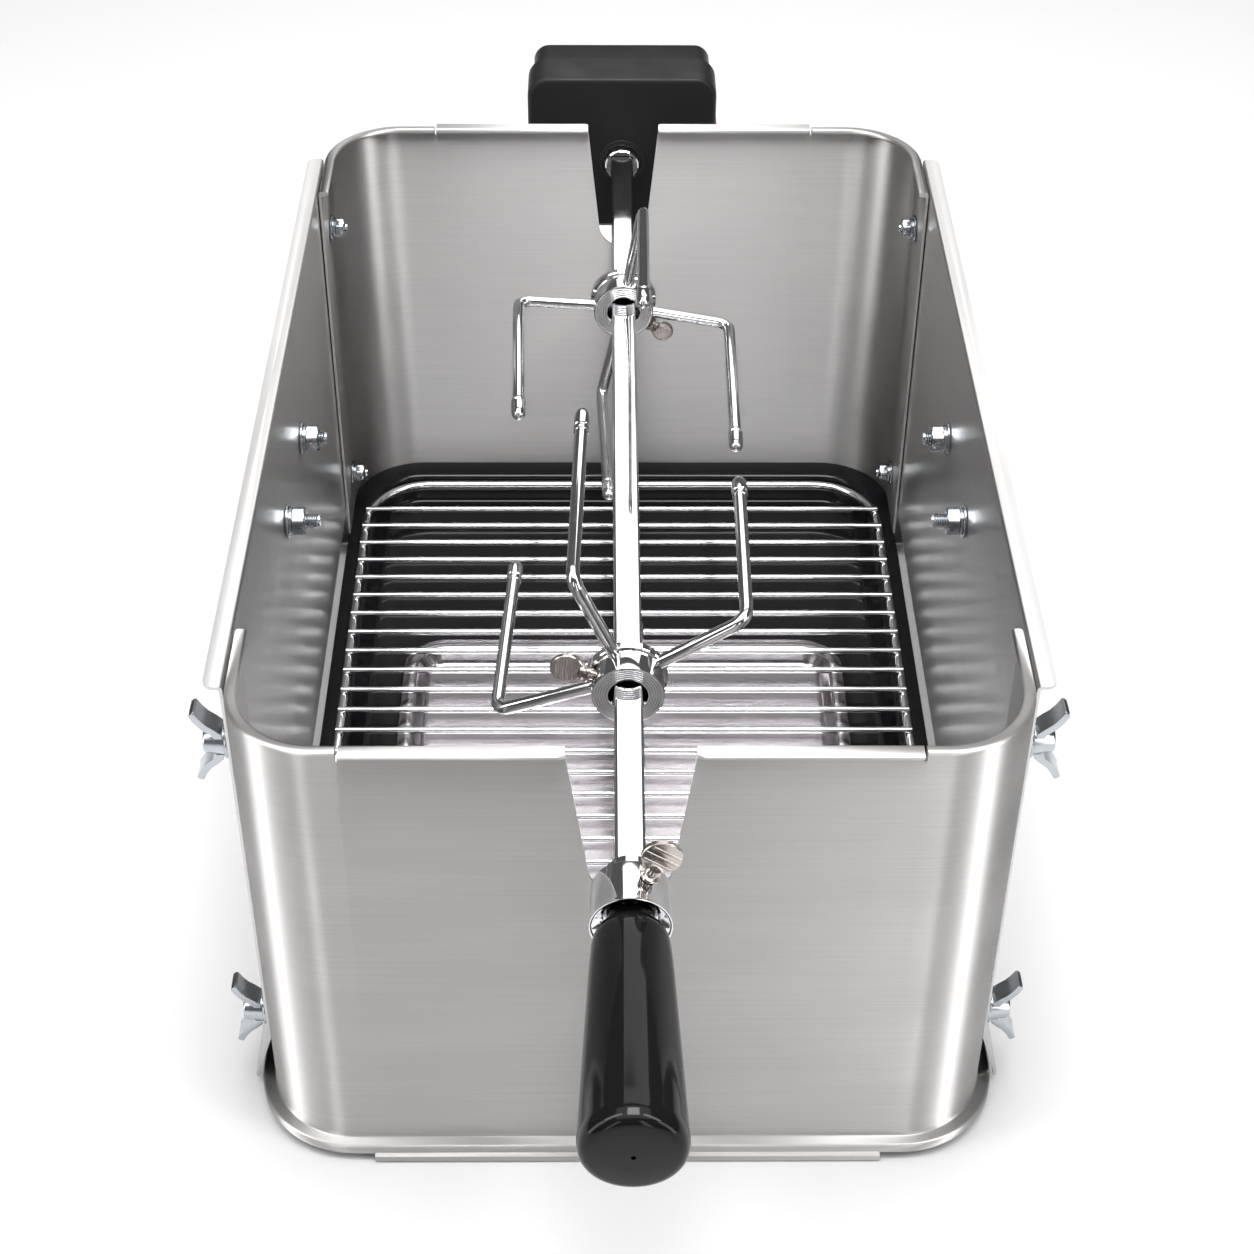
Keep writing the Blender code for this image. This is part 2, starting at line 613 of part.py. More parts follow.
def build_fasteners():
    inside = WALL_X - SHEET - GAP
    outside = SIDE_X + SHEET + GAP
    for side, sx in (("left", -1), ("right", 1)):
        for place, z in (("lower", BOLT_Z[0]), ("upper", BOLT_Z[1])):
            bolt(f"front_bolt_{side}_{place}", sx, -BOLT_Y, z, M5, 4.4, inside, outside + 7.4)
            wing_nut(f"wing_nut_{side}_{place}", sx, -BOLT_Y, z)
            bolt(f"rear_bolt_{side}_{place}", sx, BOLT_Y, z, M5, 4.4, outside, inside - 7.0)
            hex_nut(f"rear_nut_{side}_{place}", sx, BOLT_Y, z, M5, 8.0, inside, 3.6)
        for place, y in (("front", HANDLE_BOLT_Y[0]), ("back", HANDLE_BOLT_Y[1])):
            tip = 12.5 if place == "front" else 10.0
            bolt(f"handle_bolt_{side}_{place}", sx, y, HANDLE_BOLT_Z, M6, 5.4, outside + 1.8,
                 SIDE_X - GAP - tip)
            hex_nut(f"handle_nut_{side}_{place}", sx, y, HANDLE_BOLT_Z, M6, 10.0, SIDE_X - GAP, 4.8)


# Carrying handles ----------------------------------------------------------------------------
def build_carry_handles():
    """Drop handles outside the side panels, each a plate with two lugs and a hanging bail."""
    middle_y = sum(HANDLE_BOLT_Y) / 2
    half = (HANDLE_BOLT_Y[1] - HANDLE_BOLT_Y[0]) / 2
    plate_x = SIDE_X + SHEET + GAP
    pivot_x = plate_x + 5.0
    pivot_z = HANDLE_BOLT_Z - 11.0
    for name, sx in (("left", -1), ("right", 1)):
        outline = [(middle_y + x, HANDLE_BOLT_Z + z) for x, z in
                   ((-half - 9, -3), (-half + 2, -13), (half - 2, -13), (half + 9, -3), (half + 9, 6),
                    (half + 6, 9), (-half - 6, 9), (-half - 9, 6))]
        plate = mirrored(prism(outline, plate_x, plate_x + 1.5, axis="X"), x=sx)
        obj = solid([plate])
        lugs = []
        for end in (-1, 1):
            y = middle_y + end * 17.0
            lugs.append(mirrored(cylinder(4.4, y - 3.5, y + 3.5, "Y", (pivot_x, 0.0, pivot_z), 12), x=sx))
        combine(obj, lugs, "UNION")
        holes = [mirrored(cylinder(2.7, middle_y - 30.0, middle_y + 30.0, "Y", (pivot_x, 0.0, pivot_z), 12), x=sx)]
        for y in HANDLE_BOLT_Y:
            holes.append(mirrored(cylinder(M6 + GAP, plate_x - 2.0, plate_x + 4.0, "X",
                                           (0.0, y, HANDLE_BOLT_Z), 12), x=sx))
        combine(obj, holes, "DIFFERENCE")
        finish(obj, f"{name}_handle_plate", "zinc", (sx * plate_x, middle_y, HANDLE_BOLT_Z))
        path = [(13.0, 0.0), (23.5, 0.0), (26.5, -1.2), (28.0, -4.5), (30.0, -30.0), (28.0, -35.0), (23.0, -37.0)]
        loop = [(middle_y + y, pivot_z + z) for y, z in path]
        loop += [(2 * middle_y - y, z) for y, z in reversed(loop)]
        bail = tube([(pivot_x, y, z) for y, z in loop], [2.3] * len(loop), 8)
        node(f"{name}_bail", "zinc", mirrored(bail, x=sx), origin=(sx * pivot_x, middle_y, pivot_z))


# Motor -----------------------------------------------------------------------------------------
def motor_outline(inset, radius=9.6, steps=5):
    """Outline of the motor housing in XZ, as rounded_rect centred on the housing."""
    half_z = (MOTOR_Z[1] - MOTOR_Z[0]) / 2
    centre = (0.0, (MOTOR_Z[1] + MOTOR_Z[0]) / 2)
    return rounded_rect(MOTOR_HALF_W - inset, half_z - inset, max(radius - inset, 2.0), steps, centre)


def upright(outline, y):
    return [(x, y, z) for x, z in outline]


def output_ring(radius, y, count):
    """Ring of the same point count as the housing outline, around the spit's axis."""
    points = []
    for i in range(count):
        angle = 2 * math.pi * (i + 0.5) / count
        points.append((radius * math.cos(angle), y, AXIS_Z + radius * math.sin(angle)))
    return points


def gear_outline(module, teeth, centre, facing, gap=False):
    """Outline of a spur gear with a tooth, or a gap, pointing at the angle 'facing'."""
    radius = module * teeth / 2
    step = 2 * math.pi / teeth
    start = facing + (step / 2 if gap else 0.0)
    points = []
    for i in range(teeth):
        middle = start + i * step
        for share, reach in ((-0.33, radius - 1.2 * module), (-0.14, radius + 0.85 * module),
                             (0.14, radius + 0.85 * module), (0.33, radius - 1.2 * module)):
            angle = middle + share * step
            points.append((centre[0] + reach * math.cos(angle), centre[1] + reach * math.sin(angle)))
    return points


def gear_centres():
    """Axes of the gears as (x, z), each placed from the pitch radii of the pair it meshes in."""
    out = (0.0, AXIS_Z)
    reach = MODULE_OUT * (TEETH_OUT + TEETH_MID_SMALL) / 2 + 0.1
    mid = (out[0] + reach * math.cos(ANGLE_OUT_MID), out[1] + reach * math.sin(ANGLE_OUT_MID))
    reach = MODULE_MID * (TEETH_MID_LARGE + TEETH_FIRST_SMALL) / 2 + 0.1
    first = (mid[0] + reach * math.cos(ANGLE_MID_FIRST), mid[1] + reach * math.sin(ANGLE_MID_FIRST))
    reach = MODULE_IN * (TEETH_FIRST_LARGE + TEETH_PINION) / 2 + 0.1
    pinion = (first[0] + reach * math.cos(ANGLE_FIRST_PINION),
              first[1] + reach * math.sin(ANGLE_FIRST_PINION))
    return out, mid, first, pinion


def build_gears():
    out, mid, first, pinion = gear_centres()
    front = MOTOR_Y[0]
    y_out = (front + 11.0, front + 16.0)
    y_mid = (front + 5.5, front + 8.5)
    y_in = (front + 18.0, front + 21.0)
    shaft_front = front + MOTOR_WALL + 0.4
    plate_back = front + 24.4
    centre = (0.0, 0.0, AXIS_Z)
    socket = turned([(7.4, front - 5.0), (7.9, front - 4.5), (7.9, y_out[1] + 0.6)], "Y", centre, 20)
    obj = solid([prism(gear_outline(MODULE_OUT, TEETH_OUT, out, ANGLE_OUT_MID), *y_out)])
    combine(obj, [socket], "UNION")
    combine(obj, [cylinder(2.4, y_out[1], plate_back, "Y", centre, 12)], "UNION")
    combine(obj, [square_bar(ROD / 2 + GAP, 0.8, front - 8.0, front + 10.0)], "DIFFERENCE")
    finish(obj, "output_gear", "chrome", (0.0, 0.0, AXIS_Z))

    obj = solid([prism(gear_outline(MODULE_MID, TEETH_MID_LARGE, mid, ANGLE_MID_FIRST), *y_mid)])
    small = gear_outline(MODULE_OUT, TEETH_MID_SMALL, mid, ANGLE_OUT_MID + math.pi, gap=True)
    combine(obj, [prism(small, y_mid[1] - 0.5, y_out[1] + 0.5)], "UNION")
    combine(obj, [cylinder(1.2, shaft_front, plate_back, "Y", (mid[0], 0.0, mid[1]), 10)], "UNION")
    finish(obj, "reduction_gear_second", "gear_nylon", (mid[0], 0.0, mid[1]))

    obj = solid([prism(gear_outline(MODULE_IN, TEETH_FIRST_LARGE, first, ANGLE_FIRST_PINION), *y_in)])
    small = gear_outline(MODULE_MID, TEETH_FIRST_SMALL, first, ANGLE_MID_FIRST + math.pi, gap=True)
    combine(obj, [prism(small, y_mid[0] - 0.4, y_in[0] + 0.5)], "UNION")
    combine(obj, [cylinder(1.2, shaft_front, plate_back, "Y", (first[0], 0.0, first[1]), 10)], "UNION")
    finish(obj, "reduction_gear_first", "gear_nylon", (first[0], 0.0, first[1]))

    teeth = gear_outline(MODULE_IN, TEETH_PINION, pinion, ANGLE_FIRST_PINION + math.pi, gap=True)
    obj = solid([prism(teeth, y_in[0] - 0.4, y_in[1] + 0.2)])
    combine(obj, [cylinder(1.0, y_in[1], plate_back + 1.6, "Y", (pinion[0], 0.0, pinion[1]), 10)], "UNION")
    finish(obj, "motor_pinion", "bronze", (pinion[0], 0.0, pinion[1]))

    plate_y = (front + 21.6, front + 23.2)
    outline = rounded_rect(33.0, 19.0, 6.0, 3, (4.0, AXIS_Z - 9.0))
    holes = [cylinder(r, plate_y[0] - 2, plate_y[1] + 2, "Y", (c[0], 0.0, c[1]), 12)
             for c, r in ((out, 2.7), (mid, 1.5), (first, 1.5), (pinion, 1.6))]
    node("gear_plate", "zinc", prism(outline, *plate_y), cut=holes)
    can = turned([(1.4, plate_back + 0.2), (7.9, plate_back + 0.2), (8.3, plate_back + 0.8),
                  (8.3, MOTOR_Y[2] - MOTOR_WALL - 0.6), (1.4, MOTOR_Y[2] - MOTOR_WALL - 0.6)], "Y",
                 (pinion[0], 0.0, pinion[1]), 20, closed=True)
    node("drive_motor", "zinc", can)


def build_motor():
    front, joint, rear = MOTOR_Y
    count = len(motor_outline(0.0))
    outer = [upright(motor_outline(1.4), front), upright(motor_outline(0.4), front + 0.4),
             upright(motor_outline(0.0), front + 1.4), upright(motor_outline(0.0), joint)]
    inner = [upright(motor_outline(MOTOR_WALL), joint), upright(motor_outline(MOTOR_WALL), front + MOTOR_WALL)]
    hole = [output_ring(9.5, front + MOTOR_WALL, count), output_ring(9.5, front, count)]
    shell = solid([loft(outer + inner + hole, closed=True)])
    out, mid, first, pinion = gear_centres()
    bosses = []
    for c in (mid, first):
        bosses.append(turned([(1.5, front + 1.6), (3.0, front + 1.6), (3.0, front + 4.6), (1.5, front + 4.6)],
                             "Y", (c[0], 0.0, c[1]), 12, closed=True))
    combine(shell, bosses, "UNION")
    switch_y = (front + 5.0, front + 15.0)
    switch_z = (138.0, 156.0)
    play = 0.8
    cuts = [cuboid(MOTOR_HALF_W - 6.0, MOTOR_HALF_W + 4.0, switch_y[0], switch_y[1], switch_z[0], switch_z[1])]
    for x in (-24.0, 24.0):
        cuts.append(cylinder(1.9, MOTOR_Z[0] - 3.0, MOTOR_Z[0] + 5.0, "Z", (x, front + 12.0, 0.0), 10))
    combine(shell, cuts, "DIFFERENCE")
    finish(shell, "motor_front_shell", "motor_black", (0.0, front, AXIS_Z))

    inset = 2.4
    rings = [upright(motor_outline(inset + 2.0), rear), upright(motor_outline(inset + 0.5), rear - 0.6),
             upright(motor_outline(inset), rear - 2.0), upright(motor_outline(inset), joint + GAP),
             upright(motor_outline(inset + MOTOR_WALL), joint + GAP),
             upright(motor_outline(inset + MOTOR_WALL), rear - MOTOR_WALL)]
    door_z = (155.0, 174.0)
    opening = cuboid(-29.0, 29.0, rear - 5.0, rear + 3.0, door_z[0], door_z[1])
    node("motor_rear_shell", "motor_black", loft(rings), cut=[opening])
    door = cuboid(-29.0 + GAP, 29.0 - GAP, rear - MOTOR_WALL + 0.2, rear, door_z[0] + GAP, door_z[1] - GAP)
    node("battery_door", "motor_black", door, origin=(0.0, rear, (door_z[0] + door_z[1]) / 2), smooth=False)

    rocker = [(switch_z[0] + play, MOTOR_HALF_W - 2.2), (switch_z[0] + play, MOTOR_HALF_W + 2.0),
              (147.0, MOTOR_HALF_W + 0.7), (switch_z[1] - play, MOTOR_HALF_W + 0.6),
              (switch_z[1] - play, MOTOR_HALF_W - 2.2)]
    node("power_switch", "switch_red",
         prism([(x, z) for z, x in rocker], switch_y[0] + GAP, switch_y[1] - GAP),
         origin=(MOTOR_HALF_W - 1.0, sum(switch_y) / 2, 147.0), smooth=False)

    centre = (0.0, 0.0, AXIS_Z)
    bushing = turned([(8.2, front - 0.2), (9.2, front - 0.2), (9.2, front + 4.0), (8.2, front + 4.0)], "Y",
                     centre, 20, closed=True)
    node("output_bushing", "bronze", bushing)

    cell_z = 165.4
    for name, y in (("battery_cell_front", front + 17.2), ("battery_cell_rear", front + 32.0)):
        cell = turned([(1.0, -24.4), (7.0, -24.4), (7.15, -24.0), (7.15, 22.6), (6.8, 23.0), (2.6, 23.2),
                       (2.6, 24.4), (1.0, 24.5)], "X", (0.0, y, cell_z), 18)
        node(name, "cell_wrap", cell)


def build_bracket():
    """Welded bracket that carries the motor clear of the hot rear wall."""
    t = 1.8
    shelf = MOTOR_Z[0] - GAP
    wall = WALL_Y + GAP
    back = MOTOR_Y[2] + GAP
    outline = [(wall, 52.0), (wall, shelf - 2.0), (wall + 0.6, shelf - 0.6), (wall + 2.0, shelf),
               (back, shelf), (back, shelf + 26.0), (back + t, shelf + 26.0), (back + t, shelf - 1.0),
               (back + t - 0.8, shelf - t), (wall + 2.6, shelf - t), (wall + t, shelf - t - 0.8),
               (wall + t, 52.0)]
    holes = []
    for x in (-24.0, 24.0):
        holes.append(cylinder(1.9, shelf - 6.0, shelf + 3.0, "Z", (x, MOTOR_Y[0] + 12.0, 0.0), 10))
    holes.append(cuboid(-17.0, 17.0, wall + 14.0, MOTOR_Y[0] + 4.0, shelf - 6.0, shelf + 3.0))
    node("motor_bracket", "stainless", prism(outline, -32.0, 32.0, axis="X"), cut=holes)
    for name, x in (("bracket_screw_left", -24.0), ("bracket_screw_right", 24.0)):
        low = shelf - t - GAP
        screw = turned([(2.2, low - 1.8), (3.0, low - 1.2), (3.0, low), (1.6, low), (1.6, shelf + 6.0),
                        (1.0, shelf + 6.6)], "Z", (x, MOTOR_Y[0] + 12.0, 0.0), 12)
        node(name, "zinc", screw)


# Assembly --------------------------------------------------------------------------------------
for leftover in list(bpy.data.objects):
    bpy.data.objects.remove(leftover)

build_box()
build_basin()
build_grate()
build_spit()
build_fasteners()
build_carry_handles()
build_gears()
build_motor()
build_bracket()
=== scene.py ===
"""Looks of the rotisserie roaster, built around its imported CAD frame.

Frame: origin on the table under the middle of the box, X to the right, Y towards the motor, Z up.
Lengths in the shape code are millimetres; MM converts them to metres.
"""
import json
import math

import bmesh
import bpy
from mathutils import Matrix, Vector


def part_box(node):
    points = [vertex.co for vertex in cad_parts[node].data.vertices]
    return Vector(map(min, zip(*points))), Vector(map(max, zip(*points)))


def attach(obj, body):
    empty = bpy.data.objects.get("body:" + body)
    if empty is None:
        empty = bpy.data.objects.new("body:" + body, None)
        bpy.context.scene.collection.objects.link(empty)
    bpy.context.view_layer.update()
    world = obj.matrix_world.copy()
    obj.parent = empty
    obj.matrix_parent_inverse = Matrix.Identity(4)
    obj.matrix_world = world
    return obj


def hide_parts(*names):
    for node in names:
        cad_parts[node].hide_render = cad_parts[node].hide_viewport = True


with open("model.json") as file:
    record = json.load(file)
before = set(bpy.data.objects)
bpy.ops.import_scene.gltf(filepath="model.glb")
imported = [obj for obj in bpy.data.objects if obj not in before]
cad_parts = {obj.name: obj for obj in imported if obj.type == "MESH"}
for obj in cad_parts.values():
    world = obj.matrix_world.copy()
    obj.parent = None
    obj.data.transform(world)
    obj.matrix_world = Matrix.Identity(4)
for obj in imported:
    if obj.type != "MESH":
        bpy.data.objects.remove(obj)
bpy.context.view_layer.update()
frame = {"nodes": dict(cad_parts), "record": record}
nodes = frame["nodes"]

MM = 0.001
SHEET = 1.0                    # thickness of the box sheet
GAP = 0.3                      # clearance left between separate pieces


def limits(node):
    """Lowest and highest corners of a CAD node in millimetres."""
    low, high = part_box(node)
    return [c / MM for c in low], [c / MM for c in high]


# Main dimensions, repeated from the CAD or read back from it ---------------------------------
BOX_TOP = limits("front_panel")[1][2]
BOX_FOOT = 7.0                 # top of the ledge the walls stand on
WALL_X = 127.5                 # outer face of the end panels' legs
WALL_Y = 200.8                 # outer face of the end walls
CORNER = 31.0                  # outer radius of the vertical corners
LEG_END = 142.0                # the end panels' legs stop here
SLIT_X = {-1: 89.8, 1: 82.0}   # slits between corner rims and straight flange, front and rear
SIDE_X = 128.0                 # inner face of the side panels
SIDE_END = limits("right_side_panel")[1][1]
AXIS_Z = sum(c[2] for c in limits("spit_rod")) / 2
SPIT_CENTRE = (0.0, 0.0, AXIS_Z)

BOLT_Y = 163.0                 # corner bolts, front and rear
BOLT_Z = (32.5, 163.0)         # lower and upper corner bolts
M5 = 2.3                       # shank radius of the corner bolts
M6 = 2.8                       # shank radius of the handle bolts
HANDLE_BOLT_Y = (-20.0, 34.0)  # bolts of the side carrying handles
HANDLE_BOLT_Z = 143.0

BASIN_HALF = (127.2, 198.4)    # half sizes of the basin rim, in X 1.8 more than in the CAD
BASIN_RIM_Z = limits("fire_basin")[1][2]
TRAY_HALF = (96.0, 124.0)      # half sizes of the drip tray's rim
GRATE_HALF = (119.5, 176.0)    # half sizes of the grate frame, to the bar's middle
GRATE_BAR = 2.1                # radius of the frame bar
GRATE_WIRE = 1.35              # radius of the cross wires
GRATE_WIRES = 25
WIRE_SPAN_Y = 153.6            # first and last cross wires
WELD_DEPTH = 0.95              # how far the wires are let into the frame bar

ROD = 10.0                     # side of the square spit rod
ROD_BORE = 6.8                 # radius of the round bores the rod passes through
TANG_R = 4.6                   # round end of the rod, inside the handle
HUB_R = 12.8                   # radius of fork hubs and ferrule
SCREW_HOLE = 2.5               # radius of the thumb screws' holes
SCREW_IN_HUB = 6.4             # from a fork hub's front face to its screw
PRONG_R = 2.45
PRONG_LONG = 88.0              # length of the prongs along the spit
# Prongs: direction from the axis in degrees, reach, then how far the tip leans in x and in z
REAR_PRONGS = ((-10.6, 46.5, (-0.5, -4.0)), (80.6, 48.4, (-1.0, 8.0)), (176.0, 45.2, (2.5, 0.0)),
               (258.0, 45.6, (3.3, 8.0)))
FRONT_PRONGS = ((33.2, 48.5, (1.4, -5.0)), (113.6, 47.7, (3.0, 9.0)), (198.2, 48.8, (4.2, -3.0)),
                (275.0, 47.0, (0.0, 0.0)))
REAR_HUB_Y = 133.0             # front face of the rear fork's hub
FRONT_HUB_Y = -115.0           # front face of the front fork's hub
FERRULE_Y = (-206.6, -223.4)   # rear end and front rim of the ferrule
FERRULE_SCREW_Y = FERRULE_Y[1] + 9.6
TANG_Y = FERRULE_Y[1] + 6.0    # where the square rod ends and its tang begins
SOCKET_Y = 276.0               # rear end of the rod, in the drive socket
HANDLE_Y = (-223.0, -310.6)    # rear neck and end cap of the handle

MOTOR_HALF_W = limits("motor_front_shell")[1][0]
MOTOR_Z = (104.0, 181.0)
MOTOR_Y = (267.0, 288.5, 309.0)   # front face, joint between the covers, rear face
MOTOR_WALL = 2.2
MOTOR_CORNER = 9.6
# Notch of an end panel: its side of the box, half width at the top and at the bottom, height of its
# elliptical end, lowest point
NOTCHES = {
    "front_panel": (-1, 20.2, 13.4, 10.0, AXIS_Z - 8.3),
    "rear_panel": (1, 15.4, 10.6, 10.6, AXIS_Z - 6.9),
}


# Shape helpers -------------------------------------------------------------------------------
def solid(pieces):
    """A mesh object from (vertices, faces) pieces given in millimetres."""
    mesh = bpy.data.meshes.new("solid")
    verts = []
    faces = []
    for piece_verts, piece_faces in pieces:
        start = len(verts)
        verts.extend(tuple(MM * c for c in v) for v in piece_verts)
        faces.extend(tuple(start + i for i in f) for f in piece_faces)
    mesh.from_pydata(verts, [], faces)
    work = bmesh.new()
    work.from_mesh(mesh)
    bmesh.ops.recalc_face_normals(work, faces=work.faces)
    work.to_mesh(mesh)
    work.free()
    obj = bpy.data.objects.new("solid", mesh)
    bpy.context.scene.collection.objects.link(obj)
    return obj


def loft(rings, closed=False):
    """Skin a list of rings of equal length; the ends are capped unless the loft closes."""
    count = len(rings[0])
    verts = [p for ring in rings for p in ring]
    faces = []
    spans = len(rings) if closed else len(rings) - 1
    for s in range(spans):
        a = s * count
        b = ((s + 1) % len(rings)) * count
        for i in range(count):
            j = (i + 1) % count
            faces.append((a + i, a + j, b + j, b + i))
    if not closed:
        faces.append(tuple(range(count)))
        faces.append(tuple(range(len(verts) - count, len(verts))))
    return verts, faces


def prism(outline, low, high, axis="Y"):
    """Extrude a 2-D outline; it lies in XZ for axis Y and in XY for axis Z."""
    def lay(p, h):
        return (p[0], h, p[1]) if axis == "Y" else (p[0], p[1], h)
    return loft([[lay(p, low) for p in outline], [lay(p, high) for p in outline]])


def ring_points(radius, along, segments, axis, centre, hexagon=False):
    """Points of a circle, or of a hexagon with that half width, around an axis."""
    points = []
    for i in range(segments):
        angle = 2 * math.pi * (i + 0.5) / segments
        reach = radius
        if hexagon:
            side = (angle + math.pi / 6) % (math.pi / 3) - math.pi / 6
            reach = min(radius / math.cos(side), radius * 1.13)
        u = reach * math.cos(angle)
        v = reach * math.sin(angle)
        offset = {"X": (along, u, v), "Y": (u, along, v), "Z": (u, v, along)}[axis]
        points.append(tuple(c + o for c, o in zip(centre, offset)))
    return points


def turned(profile, axis="Y", centre=(0.0, 0.0, 0.0), segments=48, closed=False):
    """Turn a profile of (radius, along) points; a third item True makes that ring hexagonal."""
    rings = []
    for point in profile:
        hexagon = len(point) == 3 and point[2]
        rings.append(ring_points(point[0], point[1], segments, axis, centre, hexagon))
    return loft(rings, closed)


def cylinder(radius, low, high, axis="Y", centre=(0.0, 0.0, 0.0), segments=24):
    """A plain cylinder between two stations along its axis."""
    return turned([(radius, low), (radius, high)], axis, centre, segments)


def tube(path, radii, segments=16, closed=False):
    """Sweep a circle along a path of points, with one radius for each point."""
    points = [Vector(p) for p in path]
    count = len(points)
    rings = []
    side = None
    for i, point in enumerate(points):
        before = points[(i - 1) % count] if closed or i else point
        after = points[(i + 1) % count] if closed or i < count - 1 else point
        along = (after - before).normalized()
        if side is None:
            side = along.orthogonal().normalized()
        side = (side - along * side.dot(along)).normalized()
        up = along.cross(side)
        ring = []
        for k in range(segments):
            angle = 2 * math.pi * (k + 0.5) / segments
            ring.append(tuple(point + radii[i] * (math.cos(angle) * side + math.sin(angle) * up)))
        rings.append(ring)
    return loft(rings, closed)


def arc(centre, radius, start, end, steps):
    """Points of a circular arc, angles in degrees, both ends included."""
    points = []
    for i in range(steps + 1):
        angle = math.radians(start + (end - start) * i / steps)
        points.append((centre[0] + radius * math.cos(angle), centre[1] + radius * math.sin(angle)))
    return points


def rounded_rect(half_x, half_y, radius, steps=12, centre=(0.0, 0.0)):
    """Outline of a rectangle with rounded corners, anticlockwise."""
    points = []
    for sx, sy, start in ((1, 1, 0), (-1, 1, 90), (-1, -1, 180), (1, -1, 270)):
        middle = (centre[0] + sx * (half_x - radius), centre[1] + sy * (half_y - radius))
        points.extend(arc(middle, radius, start, start + 90, steps))
    return points


def round_path(points, radius):
    """Round the inner corners of an open path."""
    steps = 6
    path = [Vector(points[0])]
    for before, corner, after in zip(points, points[1:], points[2:]):
        corner = Vector(corner)
        start = corner + (Vector(before) - corner).normalized() * radius
        end = corner + (Vector(after) - corner).normalized() * radius
        for i in range(steps + 1):
            t = i / steps
            path.append(start * (1 - t) ** 2 + corner * 2 * t * (1 - t) + end * t ** 2)
    path.append(Vector(points[-1]))
    return path


def turn_about_y(piece, degrees):
    """Rotate a piece's points about the Y axis, X towards Z."""
    verts, faces = piece
    cos_a = math.cos(math.radians(degrees))
    sin_a = math.sin(math.radians(degrees))
    return [(x * cos_a - z * sin_a, y, x * sin_a + z * cos_a) for x, y, z in verts], faces


def moved(piece, x=0.0, y=0.0, z=0.0):
    """Shift a piece's points."""
    verts, faces = piece
    return [(v[0] + x, v[1] + y, v[2] + z) for v in verts], faces


def mirrored(piece, x=1.0, y=1.0, z=1.0):
    """Mirror a piece where a factor is -1."""
    verts, faces = piece
    return [(v[0] * x, v[1] * y, v[2] * z) for v in verts], faces


def combine(base, pieces, operation):
    """Union with, or cut by, a list of pieces that do not touch one another."""
    tool = solid(pieces)
    step = base.modifiers.new(operation.lower(), "BOOLEAN")
    step.operation = operation
    step.solver = "EXACT"
    step.object = tool
    bake(base)
    bpy.data.objects.remove(tool)


def bake(obj):
    """Apply an object's modifiers to its mesh."""
    bpy.context.view_layer.update()
    graph = bpy.context.evaluated_depsgraph_get()
    finished = bpy.data.meshes.new_from_object(obj.evaluated_get(graph))
    obj.modifiers.clear()
    obj.data = finished


def soften(obj, width):
    """Round the sharp edges of an object."""
    step = obj.modifiers.new("bevel", "BEVEL")
    step.width = width * MM
    step.segments = 2
    step.limit_method = "ANGLE"
    step.angle_limit = math.radians(35.0)
    step.harden_normals = False
    bake(obj)


def dress(obj, name, body, slot, replaced, sharp=32.0, look=None):
    """Name a finished shape, give it its material and put it in place of CAD nodes.

    'sharp' is the angle in degrees from which edges stay hard; 'look' is a finish of its own in the slot.
    """
    work = bmesh.new()
    work.from_mesh(obj.data)
    bmesh.ops.remove_doubles(work, verts=work.verts, dist=2e-6)
    bmesh.ops.dissolve_degenerate(work, edges=work.edges, dist=2e-6)
    bmesh.ops.recalc_face_normals(work, faces=work.faces)
    work.to_mesh(obj.data)
    work.free()
    obj.name = name
    obj.data.name = name
    obj.data.materials.clear()
    obj.data.materials.append(MATERIALS[look or slot])
    for polygon in obj.data.polygons:
        polygon.use_smooth = True
    obj.data.set_sharp_from_angle(angle=math.radians(sharp))
    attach(obj, body)
    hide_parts(*replaced)


# Materials -----------------------------------------------------------------------------------
class Shader:
    """A Principled material under construction."""

    def __init__(self, name, color, metallic, roughness):
        self.material = bpy.data.materials.new(name)
        self.material.use_nodes = True
        self.tree = self.material.node_tree
        self.main = self.tree.nodes["Principled BSDF"]
        self.main.inputs["Base Color"].default_value = (*color, 1.0)
        self.main.inputs["Metallic"].default_value = metallic
        self.main.inputs["Roughness"].default_value = roughness

    def add(self, kind, **values):
        """A new node; each value goes to its property or, failing that, its socket of that name."""
        node = self.tree.nodes.new(kind)
        for key, value in values.items():
            if hasattr(node, key):
                setattr(node, key, value)
            else:
                node.inputs[key.replace("_", " ")].default_value = value
        return node

    def link(self, source, target):
        self.tree.links.new(source, target)

    def noise(self, scale, detail=2.0, roughness=0.5, size=1.0):
        """Noise in object space, stretched by a scale for each axis, in cycles per metre."""
        coords = self.add("ShaderNodeTexCoord")
        mapping = self.add("ShaderNodeMapping", Scale=scale)
        self.link(coords.outputs["Object"], mapping.inputs["Vector"])
        noise = self.add("ShaderNodeTexNoise", Scale=size, Detail=detail, Roughness=roughness)
        self.link(mapping.outputs["Vector"], noise.inputs["Vector"])
        return noise.outputs["Fac"]

    def ranged(self, source, low, high):
        """Map the middle of the source's range onto low to high."""
        node = self.add("ShaderNodeMapRange")
        for key, value in (("From Min", 0.3), ("From Max", 0.7), ("To Min", low), ("To Max", high)):
            node.inputs[key].default_value = value
        self.link(source, node.inputs["Value"])
        return node.outputs["Result"]

    def tint(self, source, dark, light, start, end):
        """Base colour runs from dark to light with the source."""
        ramp = self.add("ShaderNodeValToRGB")
        ramp.color_ramp.elements[0].position = start
        ramp.color_ramp.elements[0].color = (*dark, 1.0)
        ramp.color_ramp.elements[1].position = end
        ramp.color_ramp.elements[1].color = (*light, 1.0)
        self.link(source, ramp.inputs["Fac"])
        self.link(ramp.outputs["Color"], self.main.inputs["Base Color"])

    def bump(self, source, distance, strength):
        """Relief of that height in millimetres."""
        node = self.add("ShaderNodeBump", Strength=strength, Distance=distance * MM)
        self.link(source, node.inputs["Height"])
        self.link(node.outputs["Normal"], self.main.inputs["Normal"])


